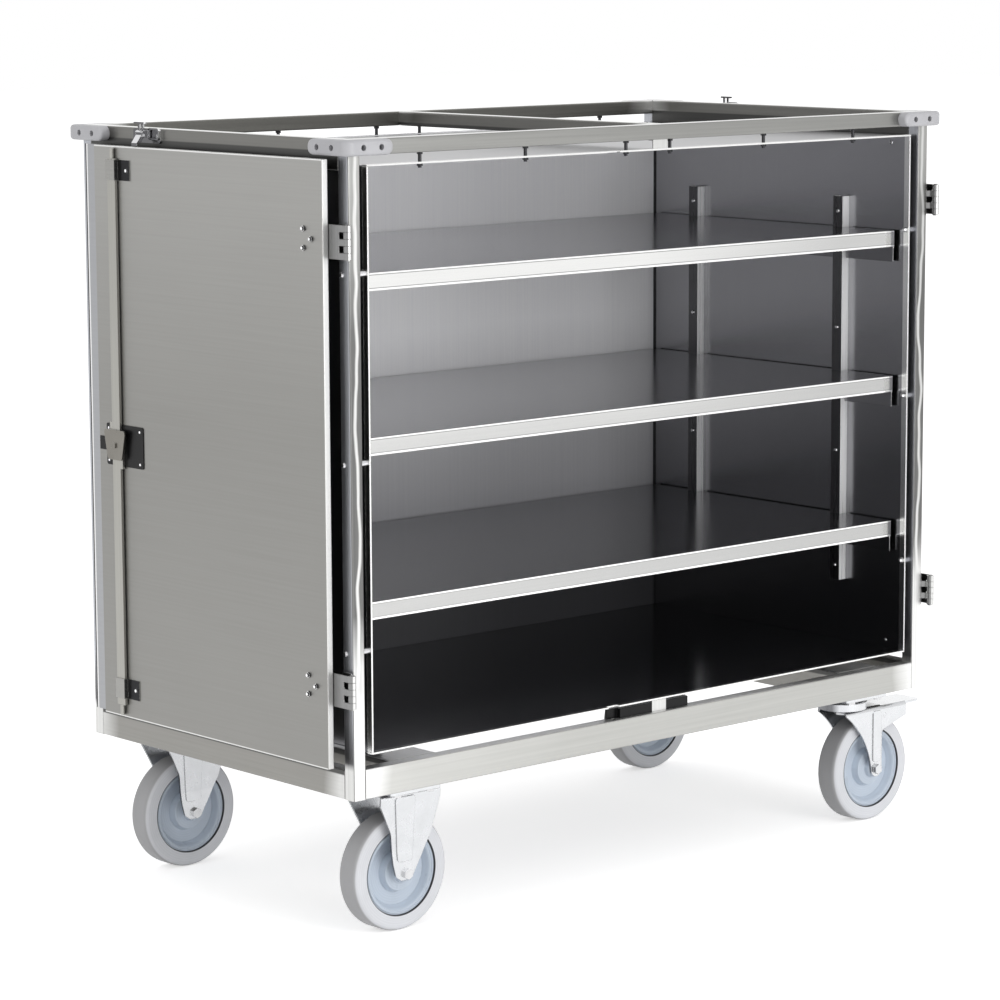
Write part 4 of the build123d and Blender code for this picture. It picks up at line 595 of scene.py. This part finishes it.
def lathe(name, outline, centre, axis, turns):
    """A piece turned from a closed outline of (radius, reach along the axis)."""
    build = bmesh.new()
    swing = Vector(axis).to_track_quat("Z", "Y")
    rings = []
    for step in range(turns):
        angle = math.tau * step / turns
        points = [(radius * math.cos(angle), radius * math.sin(angle), reach) for radius, reach in outline]
        rings.append([build.verts.new(Vector(centre) + swing @ Vector(point)) for point in points])
    for step, ring in enumerate(rings):
        following = rings[(step + 1) % turns]
        for index in range(len(ring)):
            after = (index + 1) % len(ring)
            build.faces.new((ring[index], following[index], following[after], ring[after]))
    bmesh.ops.remove_doubles(build, verts=build.verts, dist=MERGE_DISTANCE)
    bmesh.ops.recalc_face_normals(build, faces=build.faces)
    mesh = bpy.data.meshes.new(name)
    build.to_mesh(mesh)
    build.free()
    for face in mesh.polygons:
        face.use_smooth = True
    piece = bpy.data.objects.new(name, mesh)
    bpy.context.scene.collection.objects.link(piece)
    return piece


def bead(wheel, side):
    """The raised bead round a rim's face, beside the tyre."""
    low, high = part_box(f"{wheel}_rim")
    middle = (low + high) / 2
    arc = [math.pi * step / BEAD_STEPS for step in range(BEAD_STEPS + 1)]
    outline = [
        (BEAD_RADIUS + BEAD_HALF_WIDTH * math.cos(angle), BEAD_RISE * math.sin(angle))
        for angle in arc
    ]
    place = (middle.x, middle.y + side * RIM_FACE, middle.z)
    end = "inner" if side > 0 else "outer"
    piece = lathe(f"{wheel}_bead_{end}", outline, place, (0, side, 0), BEAD_TURNS)
    piece.data.materials.append(RIMS[wheel.split("_")[0]])
    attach(piece, f"{'_'.join(reversed(wheel.split('_')))}_wheel")


def rivet(name, centre, direction):
    """A low domed rivet in the liner's wall."""
    arc = [math.pi / 2 * step / RIVET_STEPS for step in range(RIVET_STEPS + 1)]
    outline = [(RIVET_RADIUS * math.cos(angle), RIVET_RISE * math.sin(angle)) for angle in arc]
    outline += [(0.0, -RIVET_SUNK), (RIVET_RADIUS, -RIVET_SUNK)]
    piece = lathe(name, outline, centre, direction, RIVET_TURNS)
    piece.data.materials.append(BOLT)
    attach(piece, "frame")


for wheel in WHEELS:
    for side in (-1, 1):
        bead(wheel, side)

for row, height in (("low", RIVET_LOW_Z), ("high", RIVET_HIGH_Z)):
    rivet(f"wall_rivet_{row}_right", (wall_right_x, RIVET_ROW_Y, height), (-1, 0, 0))
    rivet(f"wall_rivet_{row}_left", (wall_left_x, RIVET_ROW_Y, height), (1, 0, 0))


# Floor, lights and camera

WHITE = (1, 1, 1, 1)
FLOOR_GLOW = 0.5
FLOOR_HALF_SIZE = 30.0
SURROUND_SEEN = 1.0
SURROUND_UNSEEN = 0.72
PHOTO_TURN = math.radians(41.53)
PHOTO_TILT = math.radians(8.69)
PHOTO_ROLL = math.radians(-0.245)
PHOTO_LENS = 130.87
PHOTO_SENSOR = 36.0
PHOTO_PLACE = (-4.3364, -4.8461, 1.6298)


def white_floor():
    """A plain white floor that keeps the object's shadow."""
    material, tree, shader, _ = start_material("studio_floor")
    shader.inputs["Base Color"].default_value = WHITE
    shader.inputs["Roughness"].default_value = 0.9
    shader.inputs["Specular IOR Level"].default_value = 0.0
    path = add_node(tree, "ShaderNodeLightPath")
    seen = combine(tree, "MAXIMUM", path.outputs["Is Camera Ray"], path.outputs["Is Glossy Ray"])
    shader.inputs["Emission Color"].default_value = WHITE
    link(tree, remap(tree, seen, 0.0, FLOOR_GLOW, 0, 1), shader.inputs["Emission Strength"])
    mesh = bpy.data.meshes.new("studio_floor")
    build = bmesh.new()
    bmesh.ops.create_grid(build, x_segments=8, y_segments=8, size=FLOOR_HALF_SIZE)
    build.to_mesh(mesh)
    build.free()
    floor = bpy.data.objects.new("studio_floor", mesh)
    bpy.context.scene.collection.objects.link(floor)
    mesh.materials.append(material)


def studio_world():
    """A white surround, a little dimmer where it only lights the object."""
    world = bpy.data.worlds.new("studio")
    bpy.context.scene.world = world
    world.use_nodes = True
    tree = world.node_tree
    background = tree.nodes["Background"]
    background.inputs["Color"].default_value = WHITE
    path = add_node(tree, "ShaderNodeLightPath")
    seen = combine(tree, "MAXIMUM", path.outputs["Is Camera Ray"], path.outputs["Is Glossy Ray"])
    seen = combine(tree, "MAXIMUM", seen, path.outputs["Is Transmission Ray"])
    strength = remap(tree, seen, SURROUND_UNSEEN, SURROUND_SEEN, 0, 1)
    link(tree, strength, background.inputs["Strength"])


def area_lamp(name, place, target, size, power):
    """A soft square lamp aimed at a point."""
    data = bpy.data.lights.new(name, "AREA")
    data.shape = "SQUARE"
    data.size = size
    data.energy = power
    lamp = bpy.data.objects.new(name, data)
    lamp.location = place
    lamp.rotation_mode = "QUATERNION"
    lamp.rotation_quaternion = (Vector(target) - Vector(place)).to_track_quat("-Z", "Y")
    bpy.context.scene.collection.objects.link(lamp)


def photo_camera():
    """The camera that took the photograph, as fitted to the frame's corners."""
    data = bpy.data.cameras.new("camera")
    data.sensor_width = PHOTO_SENSOR
    data.lens = PHOTO_LENS
    data.clip_start = 0.1
    data.clip_end = 200.0
    camera = bpy.data.objects.new("camera", data)
    bpy.context.scene.collection.objects.link(camera)
    ahead = Vector((
        math.sin(PHOTO_TURN) * math.cos(PHOTO_TILT),
        math.cos(PHOTO_TURN) * math.cos(PHOTO_TILT),
        -math.sin(PHOTO_TILT),
    ))
    camera.location = PHOTO_PLACE
    camera.rotation_mode = "QUATERNION"
    camera.rotation_quaternion = ahead.to_track_quat("-Z", "Y") @ Quaternion((0, 0, 1), PHOTO_ROLL)
    bpy.context.scene.camera = camera


white_floor()
studio_world()
area_lamp("key", (-0.6, -4.2, 3.2), (0, 0, 0.7), size=2.6, power=16)
area_lamp("front_fill", (0.4, -4.6, 1.4), (0, 0, 0.9), size=2.2, power=60)
area_lamp("left_fill", (-4.2, -0.6, 2.4), (0, 0, 0.7), size=2.2, power=18)
photo_camera()
bpy.context.scene.view_settings.view_transform = "Standard"
